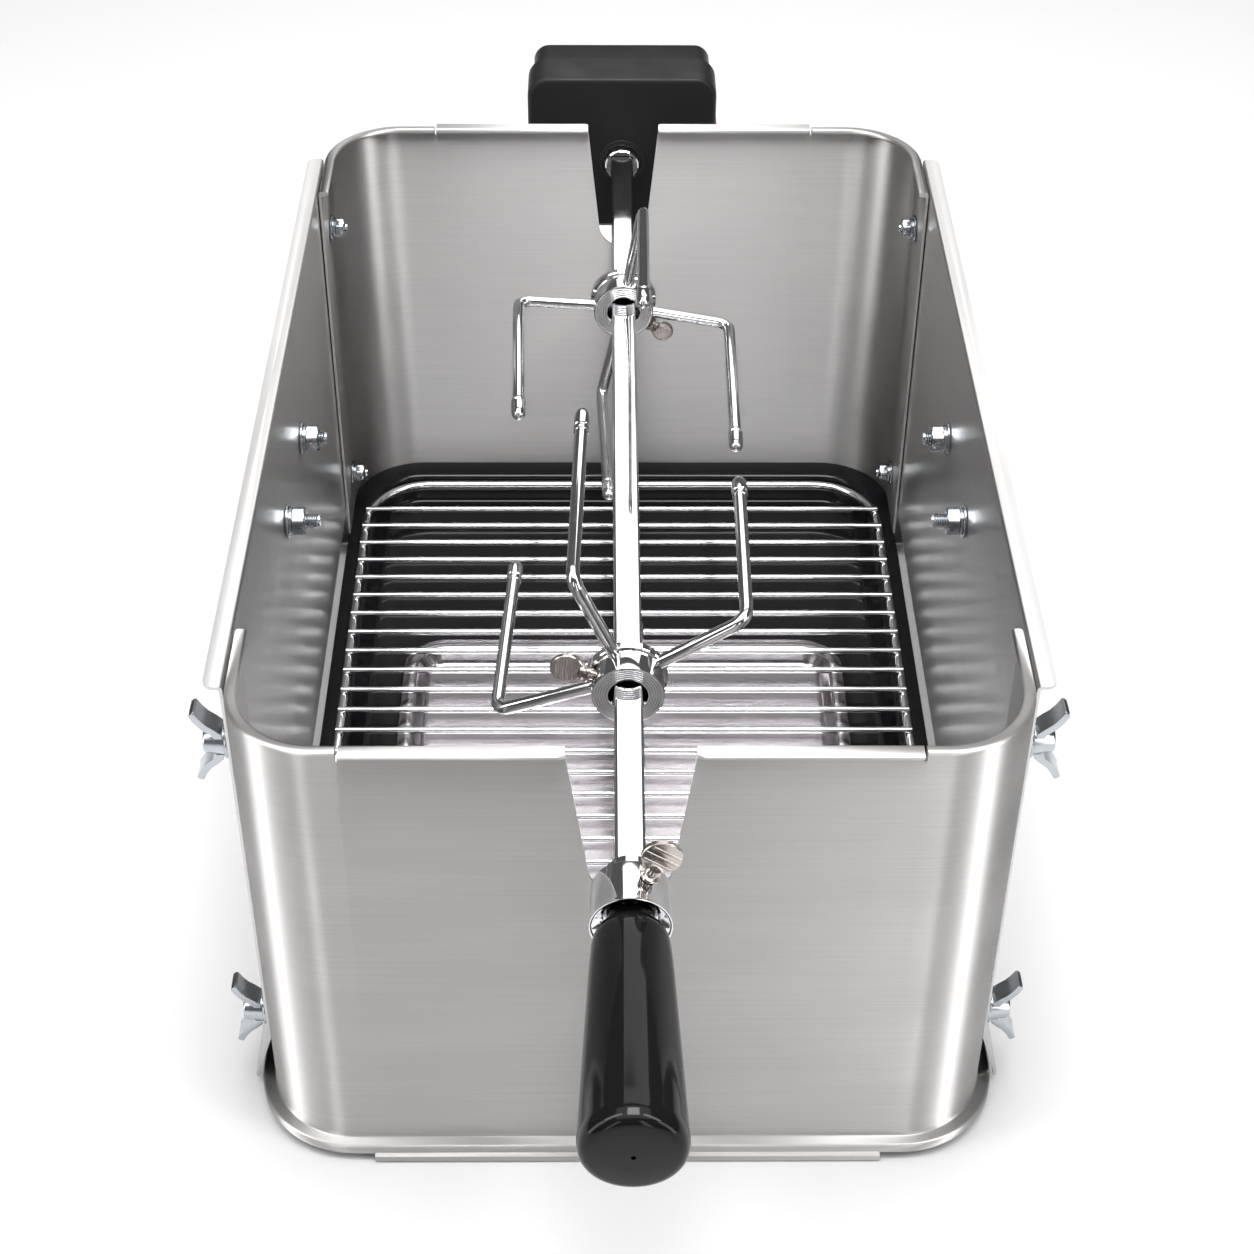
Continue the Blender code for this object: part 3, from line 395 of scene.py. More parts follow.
def brushed_steel(name, roughness, anisotropy):
    """Sheet brushed along its horizontal direction, all round the box."""
    s = Shader(name, (0.60, 0.585, 0.575), 1.0, roughness)
    lines = s.noise((16.0, 16.0, 2600.0), detail=3.0, roughness=0.6)
    cloud = s.noise((9.0, 9.0, 34.0), detail=3.0)
    s.tint(lines, (0.555, 0.545, 0.54), (0.62, 0.61, 0.60), 0.3, 0.72)
    s.link(s.ranged(cloud, roughness - 0.04, roughness + 0.04), s.main.inputs["Roughness"])
    s.bump(lines, 0.006, 0.3)
    s.main.inputs["Anisotropic"].default_value = anisotropy
    s.main.inputs["Anisotropic Rotation"].default_value = 0.25
    tangent = s.add("ShaderNodeTangent", direction_type="RADIAL", axis="Z")
    s.link(tangent.outputs["Tangent"], s.main.inputs["Tangent"])
    return s.material


def plated(name, color, roughness, spread=0.05, lines=0.0):
    """Plated metal with faint handling marks."""
    s = Shader(name, color, 1.0, roughness)
    cloud = s.noise((1.0, 1.0, 1.0), detail=5.0, size=160.0)
    s.link(s.ranged(cloud, roughness - spread, roughness + spread), s.main.inputs["Roughness"])
    if lines:
        s.bump(s.noise((420.0, 420.0, 420.0), detail=3.0), lines, 0.5)
    return s.material


def molded(name, color, roughness, pores=0.0):
    """Plastic, phenolic or enamel: a smooth skin, with pores of that height in millimetres if any."""
    s = Shader(name, color, 0.0, roughness)
    cloud = s.noise((1.0, 1.0, 1.0), detail=4.0, size=45.0)
    s.link(s.ranged(cloud, roughness * 0.8, roughness * 1.5), s.main.inputs["Roughness"])
    s.main.inputs["Specular IOR Level"].default_value = 0.2
    if pores:
        s.bump(s.noise((1.0, 1.0, 1.0), detail=2.0, size=900.0), pores, 0.6)
    return s.material


MATERIALS = {
    "stainless": brushed_steel("brushed_stainless", 0.48, 1.0),
    "side_steel": brushed_steel("side_stainless", 0.32, 0.7),
    # The drip tray's steel has a base colour well below the box's stainless (0.42 against 0.60). This is
    # painted shade, so the tray lying inside the box under the grate reads darker.
    "shaded_tray_steel": plated("polished_stainless_painted_shade", (0.42, 0.40, 0.415), 0.16, 0.05),
    "chrome": plated("bright_chrome", (0.8, 0.8, 0.81), 0.07, 0.03),
    "zinc": plated("bright_zinc", (0.46, 0.485, 0.51), 0.22, 0.07, 0.02),
    "nickel": plated("warm_nickel", (0.5, 0.46, 0.43), 0.22, 0.06, 0.02),
    "black_enamel": molded("black_enamel", (0.008, 0.008, 0.009), 0.07),
    "handle_black": molded("phenolic_black", (0.006, 0.006, 0.006), 0.08),
    "motor_black": molded("motor_black", (0.012, 0.012, 0.013), 0.38, 0.03),
    "switch_red": molded("switch_red", (0.42, 0.02, 0.02), 0.3),
    "gear_nylon": molded("gear_nylon", (0.74, 0.72, 0.66), 0.42, 0.01),
    "bronze": plated("sintered_bronze", (0.62, 0.43, 0.22), 0.35, 0.06, 0.03),
    "cell_wrap": molded("cell_wrap", (0.05, 0.09, 0.22), 0.3),
}


# Box -----------------------------------------------------------------------------------------
def rim_profile(kind):
    """Section of an end panel as (outward, z): rim at the top, ledge and skirt at the foot."""
    top = BOX_TOP
    if kind == "corner":
        bead = arc((-1.5, top - 1.5), 1.5, 0.0, 90.0, 5) + arc((-2.9, top - 1.1), 1.1, 90.0, 250.0, 7)
        bead.append((-SHEET, top - 2.4))
    elif kind == "straight":
        bead = [(0.0, top - 1.4), (1.3, top - 1.4)] + arc((1.3, top - 0.7), 0.7, -60.0, 90.0, 3)
        bead += arc((-2.9, top - 1.1), 1.1, 90.0, 250.0, 7) + [(-SHEET, top - 2.4)]
    else:
        bead = [(-SHEET * i / 14, top - 4.4 + 0.5 * math.sin(math.pi * i / 14)) for i in range(15)]
    foot = BOX_FOOT
    inner = [(-SHEET, foot + 0.8), (-0.6, foot - 0.4), (-0.2, foot - 0.8), (0.8, foot - 1.0),
             (3.4, foot - 1.0), (3.9, foot - 1.5)]
    if kind == "straight":
        skirt = [(3.9, 0.0), (5.9, 0.0), (6.2, 0.4), (6.2, 3.0), (5.6, 3.4), (4.9, 3.7)]
    else:
        skirt = [(3.9, 3.2), (4.1, 3.0), (4.4, 3.0), (4.7, 3.1), (4.8, 3.4), (4.9, 3.7)]
    ledge = [(4.9, foot - 1.1)] + arc((3.9, foot - 1.0), 1.0, 15.0, 90.0, 4)
    ledge += [(1.2, foot), (0.5, foot + 0.2), (0.1, foot + 0.8)]
    return [(0.0, foot + 1.8)] + bead + inner + skirt + ledge


def end_panel(side):
    """One U-shaped end panel; side is -1 for the front and +1 for the rear."""
    straight_x = WALL_X - CORNER
    tangent_y = WALL_Y - CORNER
    steps = 20
    stations = [((-WALL_X, LEG_END), (-1.0, 0.0), "corner")]
    for i in range(steps + 1):
        angle = math.radians(180.0 - 90.0 * i / steps)
        normal = (math.cos(angle), math.sin(angle))
        point = (-straight_x + CORNER * normal[0], tangent_y + CORNER * normal[1])
        stations.append((point, normal, "corner"))
    for x, kind in ((-0.5, "corner"), (-0.3, "slit"), (0.3, "slit"), (0.5, "straight")):
        stations.append(((-SLIT_X[side] + x, WALL_Y), (0.0, 1.0), kind))
    stations += [((-p[0], p[1]), (-n[0], n[1]), kind) for p, n, kind in reversed(stations)]
    rings = []
    for point, normal, kind in stations:
        ring = []
        for out, z in rim_profile(kind):
            ring.append((point[0] + out * normal[0], side * (point[1] + out * normal[1]), z))
        rings.append(ring)
    return loft(rings)


def notch(half_top, half_low, deep, low, side):
    """Tapered notch for the spit, open at the top, its bottom half an ellipse 'deep' high."""
    steps = 28
    outline = [(-half_top, BOX_TOP + 6.0), (-half_top, BOX_TOP - 1.0)]
    for i in range(steps + 1):
        turn = math.pi * (1.0 + i / steps)
        outline.append((half_low * math.cos(turn), low + deep + deep * math.sin(turn)))
    outline += [(half_top, BOX_TOP - 1.0), (half_top, BOX_TOP + 6.0)]
    return prism(outline, side * (WALL_Y - 8.0), side * (WALL_Y + 8.0))


def flange_chamfers(half_top, side):
    """Cuts that slope the flange ends beside a notch."""
    cuts = []
    for sx in (-1, 1):
        outline = [(sx * (half_top - 1.0), side * (WALL_Y + 0.2)),
                   (sx * (half_top + 4.5), side * (WALL_Y + 3.0)),
                   (sx * (half_top - 1.0), side * (WALL_Y + 3.0))]
        cuts.append(prism(outline, BOX_TOP - 4.0, BOX_TOP + 4.0, axis="Z"))
    return cuts


def side_panel():
    """Right side panel: flange folded out at the top, foot flared out over the end panels' ledge."""
    inner = SIDE_X
    outer = SIDE_X + SHEET

    def section(reach):
        tip = inner + reach
        top_fold = arc((inner + 1.4, BOX_TOP - 1.4), 1.4, 180.0, 90.0, 5)
        under = [(tip, BOX_TOP), (tip, BOX_TOP - 1.1), (outer + 0.7, BOX_TOP - 1.1)]
        under += [(outer + 0.2, BOX_TOP - 1.5), (outer, BOX_TOP - 2.2)]
        foot = [(outer, 26.5), (outer + 0.5, 24.0), (inner + 6.9, 5.8), (inner + 7.2, 4.8),
                (inner + 7.2, 2.6), (inner + 6.2, 2.6), (inner + 6.2, 4.4), (inner + 5.9, 5.4),
                (inner + 0.4, 23.0)]
        return [(inner, 25.0)] + top_fold + under + foot

    stations = [(-SIDE_END, 3.6), (-SIDE_END + 0.3, 4.6), (-SIDE_END + 0.9, 5.4), (-SIDE_END + 1.8, 6.1),
                (-SIDE_END + 3.4, 6.5)]
    stations += [(-y, reach) for y, reach in reversed(stations)]
    return loft([[(x, y, z) for x, z in section(reach)] for y, reach in stations])


def build_box():
    """The two end panels with their notches, and the two side panels."""
    for name, (side, half_top, half_low, deep, low) in NOTCHES.items():
        panel = solid([end_panel(side)])
        combine(panel, [notch(half_top, half_low, deep, low, side)], "DIFFERENCE")
        combine(panel, flange_chamfers(half_top, side), "DIFFERENCE")
        dress(panel, name + "_sheet", "box", "stainless", [name])
    for name, sx in (("left_side_panel", -1), ("right_side_panel", 1)):
        panel = solid([mirrored(side_panel(), x=sx)])
        dress(panel, name + "_sheet", "box", "stainless", [name], look="side_steel")


# Basin, tray and grate -----------------------------------------------------------------------
def pan(rim, rim_z, rim_width, depth, slope, sheet, radius, centre=(0.0, 0.0)):
    """A pressed pan with a flat rim; half sizes are those of the rim's edge."""
    floor = rim_z - depth
    in_floor = rim_width + slope
    section = [(in_floor + 3.0, floor - sheet), (in_floor, floor - sheet + 0.6),
               (rim_width + sheet, rim_z - sheet - 1.0), (rim_width, rim_z - sheet), (0.8, rim_z - sheet),
               (0.0, rim_z - sheet - 0.6), (-0.3, rim_z - 1.1), (-0.3, rim_z - 0.7), (0.0, rim_z - 0.25),
               (0.5, rim_z), (rim_width - 0.3, rim_z), (rim_width + sheet * 0.7, rim_z - 0.2),
               (rim_width + sheet * 1.5, rim_z - 0.8), (rim_width + sheet * 2.0, rim_z - 1.7),
               (in_floor + sheet - 0.3, floor + 2.0), (in_floor + sheet + 0.6, floor + 0.7),
               (in_floor + sheet + 1.8, floor + 0.15), (in_floor + 4.4, floor)]
    rings = []
    for inset, z in section:
        outline = rounded_rect(rim[0] - inset, rim[1] - inset, max(radius - inset, 6.0), 14, centre)
        rings.append([(x, y, z) for x, y in outline])
    return loft(rings)


def build_basin():
    """Fire basin, and the drip tray that lies in it."""
    basin = pan(BASIN_HALF, BASIN_RIM_Z, rim_width=9.2, depth=11.8, slope=5.0, sheet=1.2, radius=32.0)
    dress(solid([basin]), "fire_basin_shell", "box", "black_enamel", ["fire_basin"])
    low, high = limits("drip_tray")
    centre = (0.0, (low[1] + high[1]) / 2)
    tray = pan(TRAY_HALF, high[2], rim_width=5.0, depth=6.4, slope=3.5, sheet=0.8, radius=18.0, centre=centre)
    # The tray takes the polished steel that is darkened with painted shade.
    dress(solid([tray]), "drip_tray_shell", "drip_tray", "stainless", ["drip_tray"], look="shaded_tray_steel")


def build_grate():
    """Welded grate: a rounded frame bar with the cross wires let a little into its top."""
    half_x, half_y = GRATE_HALF
    corner = 29.0
    pitch = 2 * WIRE_SPAN_Y / (GRATE_WIRES - 1)
    bar_z = BASIN_RIM_Z + GAP + GRATE_BAR
    wire_z = bar_z + GRATE_BAR + GRATE_WIRE - WELD_DEPTH
    outline = rounded_rect(half_x, half_y, corner, 14)
    loop = tube([(x, y, bar_z) for x, y in outline], [GRATE_BAR] * len(outline), 16, closed=True)
    wires = []
    for i in range(GRATE_WIRES):
        y = -WIRE_SPAN_Y + i * pitch
        over = max(0.0, abs(y) - (half_y - corner))
        reach = half_x - corner + math.sqrt(corner ** 2 - over ** 2) + 1.4
        ends = [(GRATE_WIRE - 0.35, -reach), (GRATE_WIRE, 0.35 - reach), (GRATE_WIRE, reach - 0.35),
                (GRATE_WIRE - 0.35, reach)]
        wires.append(turned(ends, "X", (0.0, y, wire_z), 14))
    dress(solid([loop] + wires), "grill_grate_wires", "grill_grate", "chrome", ["grill_grate"])


# Spit ----------------------------------------------------------------------------------------
def prong(angle, reach, lean, root_y, toward):
    """A bent prong with its crimped cap: out from the hub, then along the spit."""
    bend = 5.0
    path = [(7.9, 0.0), (reach - bend, 0.0)]
    for i in range(1, 9):
        turn = math.radians(90.0 * i / 8)
        path.append((reach - bend + bend * math.sin(turn), bend * (1 - math.cos(turn))))
    cap = PRONG_LONG - 12.0
    radii = [PRONG_R] * len(path)
    for along, radius in ((0.0, PRONG_R), (0.1, 2.8), (0.4, 2.95), (1.6, 2.95), (1.9, 2.75), (2.3, 2.75),
                          (2.6, 3.0), (8.0, 2.92), (9.6, 2.7), (10.8, 2.2), (11.6, 1.5), (12.0, 0.7)):
        path.append((reach, cap + along))
        radii.append(radius)
    points = []
    for r, along in path:
        share = along / PRONG_LONG
        points.append((r * math.cos(math.radians(angle)) + lean[0] * share, root_y + toward * along,
                       AXIS_Z + r * math.sin(math.radians(angle)) + lean[1] * share))
    return tube(points, radii, 18)


def fork(node, face_y, toward, prongs, screw_angle):
    """A fork: hub with a wider back ring, and four prongs."""
    back = face_y + 13.0
    hub = [(ROD_BORE, face_y + 0.5), (ROD_BORE + 0.3, face_y)]
    for i in range(5):
        groove = 7.6 + 0.9 * i
        hub += [(groove, face_y), (groove + 0.22, face_y + 0.12), (groove + 0.44, face_y)]
    hub += [(HUB_R - 0.6, face_y), (HUB_R - 0.17, face_y + 0.17), (HUB_R, face_y + 0.6),
            (HUB_R, back - 3.6), (HUB_R + 1.0, back - 3.3), (HUB_R + 1.3, back - 2.9),
            (HUB_R + 1.3, back - 0.4), (HUB_R + 0.9, back), (ROD_BORE, back)]
    obj = solid([turned(hub, "Y", SPIT_CENTRE, 64, closed=True)])
    root_y = face_y + (9.6 if toward > 0 else 4.4)
    combine(obj, [prong(angle, reach, lean, root_y, toward) for angle, reach, lean in prongs], "UNION")
    hole = cylinder(SCREW_HOLE, 4.0, HUB_R + 6.0, "X", (0.0, face_y + SCREW_IN_HUB, 0.0))
    combine(obj, [moved(turn_about_y(hole, screw_angle), z=AXIS_Z)], "DIFFERENCE")
    dress(obj, node + "_chromed", node, "chrome", [node])


def head_ridges(middle, y, disc_r, lines_at, pitch):
    """Parallel ridges on the front of a thumb screw's disc, turned 'lines_at' degrees from its stem."""
    count = int(disc_r / pitch)
    cos_l = math.cos(math.radians(lines_at))
    sin_l = math.sin(math.radians(lines_at))
    ridges = []
    for i in range(-count, count + 1):
        across = i * pitch
        half = math.sqrt(max((disc_r - 0.6) ** 2 - (abs(across) + 0.55) ** 2, 0.0))
        if half < 1.0:
            continue
        rings = []
        for along in (-half, half):
            ring = []
            for shift, lift in ((-0.6, -1.0), (0.6, -1.0), (0.3, -1.28), (-0.3, -1.28)):
                u = along * cos_l - (across + shift) * sin_l
                v = along * sin_l + (across + shift) * cos_l
                ring.append((middle + u, y + lift, v))
            rings.append(ring)
        ridges.append(loft(rings))
    return ridges


def thumb_screw(node, angle, y, disc_r, lines_at, pitch=1.9):
    """Thumb screw with a flat ridged head, its stem coming out of a hub."""
    seat = HUB_R
    stem = 2.1
    origin = (0.0, y, 0.0)
    middle = seat + 4.2 + disc_r
    shank = turned([(stem - 0.4, ROD_BORE), (stem, ROD_BORE + 0.4), (stem, seat + 3.4)], "X", origin, 24)
    neck = turned([(stem + 0.7, seat + 1.6), (stem + 1.4, seat + 1.9), (stem + 1.4, seat + 2.6),
                   (stem + 0.4, seat + 3.1), (stem + 0.9, seat + 4.4), (stem + 0.3, seat + 5.6)],
                  "X", origin, 24)
    disc = turned([(disc_r - 0.7, -1.05), (disc_r - 0.25, -0.95), (disc_r, -0.6), (disc_r, 0.6),
                   (disc_r - 0.25, 0.95), (disc_r - 0.7, 1.05)], "Y", (middle, y, 0.0), 48)
    shoulder = middle - 0.6 * disc_r
    web = prism([(seat + 4.0, -1.6), (shoulder, -0.75 * disc_r), (middle, -0.9 * disc_r),
                 (middle, 0.9 * disc_r), (shoulder, 0.75 * disc_r), (seat + 4.0, 1.6)], y - 0.9, y + 0.9)
    obj = solid([shank])
    for piece in (neck, disc, web):
        combine(obj, [piece], "UNION")
    ridges = head_ridges(middle, y, disc_r, lines_at, pitch)
    combine(obj, ridges, "UNION")
    combine(obj, [moved(mirrored(ridge, y=-1.0), y=2 * y) for ridge in ridges], "UNION")
    turn = Matrix.Rotation(math.radians(-angle), 4, "Y")
    obj.data.transform(Matrix.Translation((0.0, 0.0, AXIS_Z * MM)) @ turn)
    dress(obj, node + "_plated", node, "nickel", [node])


def build_ferrule():
    """Ring between handle and box, with the journal that turns in the front notch."""
    rear_y, rim_y = FERRULE_Y
    journal_y = -WALL_Y + 1.4
    profile = [(ROD_BORE, journal_y), (7.7, journal_y), (8.0, journal_y - 0.3), (8.0, rear_y - 0.1),
               (HUB_R - 0.5, rear_y), (HUB_R - 0.15, rear_y - 0.15), (HUB_R, rear_y - 0.5),
               (HUB_R, rim_y + 2.0), (HUB_R + 0.1, rim_y + 1.2), (HUB_R + 0.3, rim_y + 0.5),
               (HUB_R + 0.25, rim_y + 0.1), (HUB_R, rim_y), (HUB_R - 0.4, rim_y + 0.1),
               (HUB_R - 0.7, rim_y + 0.4), (8.6, rim_y + 4.6), (ROD_BORE, rim_y + 4.8)]
    obj = solid([turned(profile, "Y", SPIT_CENTRE, 96, closed=True)])
    hole = cylinder(SCREW_HOLE, 4.0, HUB_R + 6.0, "X", (0.0, FERRULE_SCREW_Y, 0.0))
    combine(obj, [moved(turn_about_y(hole, 66.0), z=AXIS_Z)], "DIFFERENCE")
    dress(obj, "ferrule_chromed", "spit", "chrome", ["ferrule"])


def build_handle():
    """Turned grip: a collar and shoulder, a long swelling body and a rounded end."""
    shoulder, end = HANDLE_Y
    body = shoulder - 12.0
    outside = [(5.0, shoulder + 3.6), (7.0, shoulder + 3.6), (7.3, shoulder + 3.3), (7.4, shoulder + 0.3),
               (8.0, shoulder - 0.5), (9.4, shoulder - 1.8), (10.6, shoulder - 3.2), (11.5, shoulder - 4.8),
               (12.1, shoulder - 6.8), (12.5, shoulder - 9.2)]
    for i in range(1, 13):
        t = i / 12
        outside.append((12.75 + 3.45 * t ** 0.95, body + (end + 7.4 - body) * t))
    outside += [(16.35, end + 6.0), (16.35, end + 4.6), (16.15, end + 3.2), (15.7, end + 1.9),
                (15.0, end + 0.9), (14.0, end + 0.3), (12.8, end), (6.0, end - 0.2), (0.8, end - 0.3)]
    bore = [(0.8, end + 46.0), (5.0, end + 46.2)]
    grip = solid([turned(outside + bore, "Y", SPIT_CENTRE, 96, closed=True)])
    dress(grip, "handle_grip", "spit", "handle_black", ["handle"], 50.0)


def build_spit():
    """Forks, ferrule and their thumb screws, handle, and the square rod with its round tang."""
    fork("rear_fork", REAR_HUB_Y, -1, REAR_PRONGS, -38.0)
    fork("front_fork", FRONT_HUB_Y, 1, FRONT_PRONGS, 160.0)
    thumb_screw("rear_fork_screw", -38.0, REAR_HUB_Y + SCREW_IN_HUB, 4.6, 60.0)
    thumb_screw("front_fork_screw", 160.0, FRONT_HUB_Y + SCREW_IN_HUB, 5.8, -75.0)
    build_ferrule()
    thumb_screw("ferrule_screw", 66.0, FERRULE_SCREW_Y, 6.6, -100.0, pitch=2.8)
    build_handle()
    rod = solid([prism(rounded_rect(ROD / 2, ROD / 2, 1.3, 4, (0.0, AXIS_Z)), TANG_Y, SOCKET_Y)])
    combine(rod, [cylinder(TANG_R, HANDLE_Y[1] + 47.0, TANG_Y + 2.0, "Y", SPIT_CENTRE)], "UNION")
    dress(rod, "spit_bar", "spit", "chrome", ["spit_rod"])


# Fasteners -----------------------------------------------------------------------------------
def wing_nut(node, sx, y, z):
    """Pressed wing nut on a front corner bolt."""
    face = SIDE_X + SHEET + GAP
    base = turned([(M5 + GAP, face), (6.0, face), (6.2, face + 0.2), (6.2, face + 0.8), (5.9, face + 1.1),
                   (5.1, face + 1.3), (4.4, face + 7.6), (4.0, face + 8.2), (M5 + GAP, face + 8.2)], "X",
                  (0.0, 0.0, 0.0), 40, closed=True)
    strip = [(3.4, 1.8), (5.2, 2.0), (7.4, 4.2), (9.2, 6.4), (11.6, 8.2), (14.4, 9.5), (14.7, 10.1),
             (14.0, 11.3), (13.4, 11.5), (10.4, 10.2), (7.5, 8.1), (5.7, 6.0), (4.4, 4.7), (3.4, 4.3)]
    obj = solid([base])
    for sign in (-1, 1):
        rings = []
        for width, trim in ((-3.8, 0.5), (-3.6, 0.15), (-3.1, 0.0), (3.1, 0.0), (3.6, 0.15), (3.8, 0.5)):
            ring = []
            for reach, x in strip:
                ring.append((face + x, width, sign * (reach - (trim if reach > 12 else 0.0))))
            rings.append(ring)
        combine(obj, [loft(rings)], "UNION")
    combine(obj, [cylinder(M5 + GAP, face - 1.0, face + 20.0, "X", segments=40)], "DIFFERENCE")
    soften(obj, 0.22)
    obj.data.transform(Matrix.Translation(Vector((0.0, y, z)) * MM) @ Matrix.Diagonal((sx, 1.0, 1.0, 1.0)))
    dress(obj, node + "_pressed", node, "zinc", [node], 50.0)


def threads(radius, start, end):
    """Profile of a thread between two stations along the bolt."""
    pitch = 0.9
    count = max(2, int(abs(end - start) / pitch))
    step = (end - start) / count
    profile = []
    for i in range(count):
        profile += [(radius, start + step * (i + 0.3)), (radius - 0.38, start + step * (i + 0.75))]
    return profile


def bolt(node, sx, y, z, radius, head_r, head_x, tip_x):
    """A round-headed bolt along X; head_x is its seat, tip_x its far end, both for the right side."""
    away = 1.0 if head_x > tip_x else -1.0
    thick = 2.3
    profile = [(0.4, head_x + away * thick), (head_r * 0.45, head_x + away * thick * 0.95),
               (head_r * 0.75, head_x + away * thick * 0.76), (head_r * 0.94, head_x + away * thick * 0.45),
               (head_r, head_x + away * thick * 0.15), (head_r, head_x), (radius, head_x)]
    profile += threads(radius, head_x - away * 1.0, tip_x + away * 0.5)
    profile += [(radius - 0.5, tip_x), (0.4, tip_x)]
    piece = moved(mirrored(turned(profile, "X", segments=32), x=sx), y=y, z=z)
    dress(solid([piece]), node + "_turned", "box", "zinc", [node])


def hex_nut(node, sx, y, z, radius, flats, seat_x, height):
    """Hex nut with its plain and spring washers, seated at seat_x and standing inwards."""
    bore = radius + GAP
    w = flats / 2
    top = seat_x - 2.2 - height
    washers = [(bore, seat_x), (w + 1.4, seat_x), (w + 1.6, seat_x - 0.2), (w + 1.6, seat_x - 0.8),
               (w + 1.4, seat_x - 1.0), (w - 0.2, seat_x - 1.05), (w - 0.2, seat_x - 1.2),
               (w + 0.2, seat_x - 1.3), (w + 0.2, seat_x - 2.0), (w - 0.2, seat_x - 2.1)]
    hexagon = [(w * 0.97, seat_x - 2.2), (w, seat_x - 2.5, True), (w, top + 0.5, True),
               (w * 0.97, top + 0.1), (w - 0.6, top), (bore + 0.4, top), (bore, top + 0.4)]
    profile = washers + hexagon
    piece = moved(mirrored(turned(profile, "X", segments=48, closed=True), x=sx), y=y, z=z)
    dress(solid([piece]), node + "_plated", "box", "zinc", [node])


def build_fasteners():
    """Corner bolts with wing nuts at the front and hex nuts at the rear, and the handles' bolts."""
    inside = WALL_X - SHEET - GAP
    outside = SIDE_X + SHEET + GAP
    for side, sx in (("left", -1), ("right", 1)):
        for place, z in (("lower", BOLT_Z[0]), ("upper", BOLT_Z[1])):
            bolt(f"front_bolt_{side}_{place}", sx, -BOLT_Y, z, M5, 4.4, inside, outside + 7.4)
            wing_nut(f"wing_nut_{side}_{place}", sx, -BOLT_Y, z)
            bolt(f"rear_bolt_{side}_{place}", sx, BOLT_Y, z, M5, 4.4, outside, inside - 7.0)
            hex_nut(f"rear_nut_{side}_{place}", sx, BOLT_Y, z, M5, 8.0, inside, 3.6)
        for place, y in (("front", HANDLE_BOLT_Y[0]), ("back", HANDLE_BOLT_Y[1])):
            tip = 12.5 if place == "front" else 10.0
            bolt(f"handle_bolt_{side}_{place}", sx, y, HANDLE_BOLT_Z, M6, 5.4, outside + 1.8,
                 SIDE_X - GAP - tip)
            hex_nut(f"handle_nut_{side}_{place}", sx, y, HANDLE_BOLT_Z, M6, 10.0, SIDE_X - GAP, 4.8)


def build_bails():
    """Smooth wire for the two drop handles."""
    middle_y = sum(HANDLE_BOLT_Y) / 2
    pivot_z = HANDLE_BOLT_Z - 11.0
    pivot_x = SIDE_X + SHEET + GAP + 5.0
    half = [(pivot_x, 13.0, 0.0), (pivot_x, 27.8, 0.0), (pivot_x, 30.0, -30.0), (pivot_x, 28.0, -37.0),
            (pivot_x, 0.0, -37.0)]
    path = round_path(half, 4.2)
    points = [(p.x, middle_y + p.y, pivot_z + p.z) for p in path[:-1]]
    points += [(x, 2 * middle_y - y, z) for x, y, z in reversed(points)]
    for name, sx in (("left_bail", -1), ("right_bail", 1)):
        wire = tube([(sx * x, y, z) for x, y, z in points], [2.25] * len(points), 18)
        dress(solid([wire]), name + "_wire", name, "zinc", [name])


# Motor ---------------------------------------------------------------------------------------
def motor_outline(inset, y):
    """Outline of the motor housing at a station along the spit."""
    half_z = (MOTOR_Z[1] - MOTOR_Z[0]) / 2
    centre = (0.0, (MOTOR_Z[1] + MOTOR_Z[0]) / 2)
    flat = rounded_rect(MOTOR_HALF_W - inset, half_z - inset, max(MOTOR_CORNER - inset, 2.0), 10, centre)
    return [(x, y, z) for x, z in flat]


def motor_front_cover():
    """Front cover: rounded face with a raised collar round the output, open towards the joint."""
    front, joint, _ = MOTOR_Y
    inside = front + MOTOR_WALL
    rings = []
    for inset, y in ((2.6, front), (1.5, front + 0.15), (0.7, front + 0.6), (0.15, front + 1.5),
                     (0.0, front + 2.6), (0.0, joint - 0.4), (0.4, joint), (MOTOR_WALL, joint),
                     (MOTOR_WALL, inside)):
        rings.append(motor_outline(inset, y))
    for radius, y in ((9.5, inside), (9.5, front - 0.28), (8.25, front - 0.28), (8.25, front - 0.5),
                      (8.45, front - 0.62), (10.2, front - 0.62), (10.6, front - 0.4), (10.8, front)):
        rings.append(ring_points(radius, y, len(rings[0]), "Y", SPIT_CENTRE))
    switch = [(MOTOR_HALF_W - 6.0, 138.0), (MOTOR_HALF_W + 4.0, 138.0), (MOTOR_HALF_W + 4.0, 156.0),
              (MOTOR_HALF_W - 6.0, 156.0)]
    cuts = [prism(switch, front + 5.0, front + 15.0)]
    for x in (-24.0, 24.0):
        cuts.append(cylinder(1.9, MOTOR_Z[0] - 3.0, MOTOR_Z[0] + 5.0, "Z", (x, front + 12.0, 0.0)))
    shell = solid([loft(rings, closed=True)])
    combine(shell, cuts, "DIFFERENCE")
    dress(shell, "motor_front_cover", "box", "motor_black", ["motor_front_shell"])


def motor_rear_cover():
    """Rear cover, a little smaller than the front one, with the opening of the battery door."""
    _, joint, rear = MOTOR_Y
    inset = 2.4
    rings = []
    for more, y in ((2.6, rear), (1.2, rear - 0.25), (0.4, rear - 0.9), (0.0, rear - 2.2),
                    (0.0, joint + GAP), (MOTOR_WALL, joint + GAP), (MOTOR_WALL, rear - MOTOR_WALL)):
        rings.append(motor_outline(inset + more, y))
    door = [(-29.0, 155.0), (29.0, 155.0), (29.0, 174.0), (-29.0, 174.0)]
    shell = solid([loft(rings)])
    combine(shell, [prism(door, rear - 5.0, rear + 3.0)], "DIFFERENCE")
    dress(shell, "motor_rear_cover", "box", "motor_black", ["motor_rear_shell"])


# CAD nodes that keep their own shape ---------------------------------------------------------
def paint_frame():
    """Give every CAD node the material of its slot."""
    slots = {entry["node"]: entry["material_slot"] for entry in frame["record"]["subparts"]}
    for name, obj in nodes.items():
        for place in obj.material_slots:
            place.link = "OBJECT"
            place.material = MATERIALS[slots[name]]


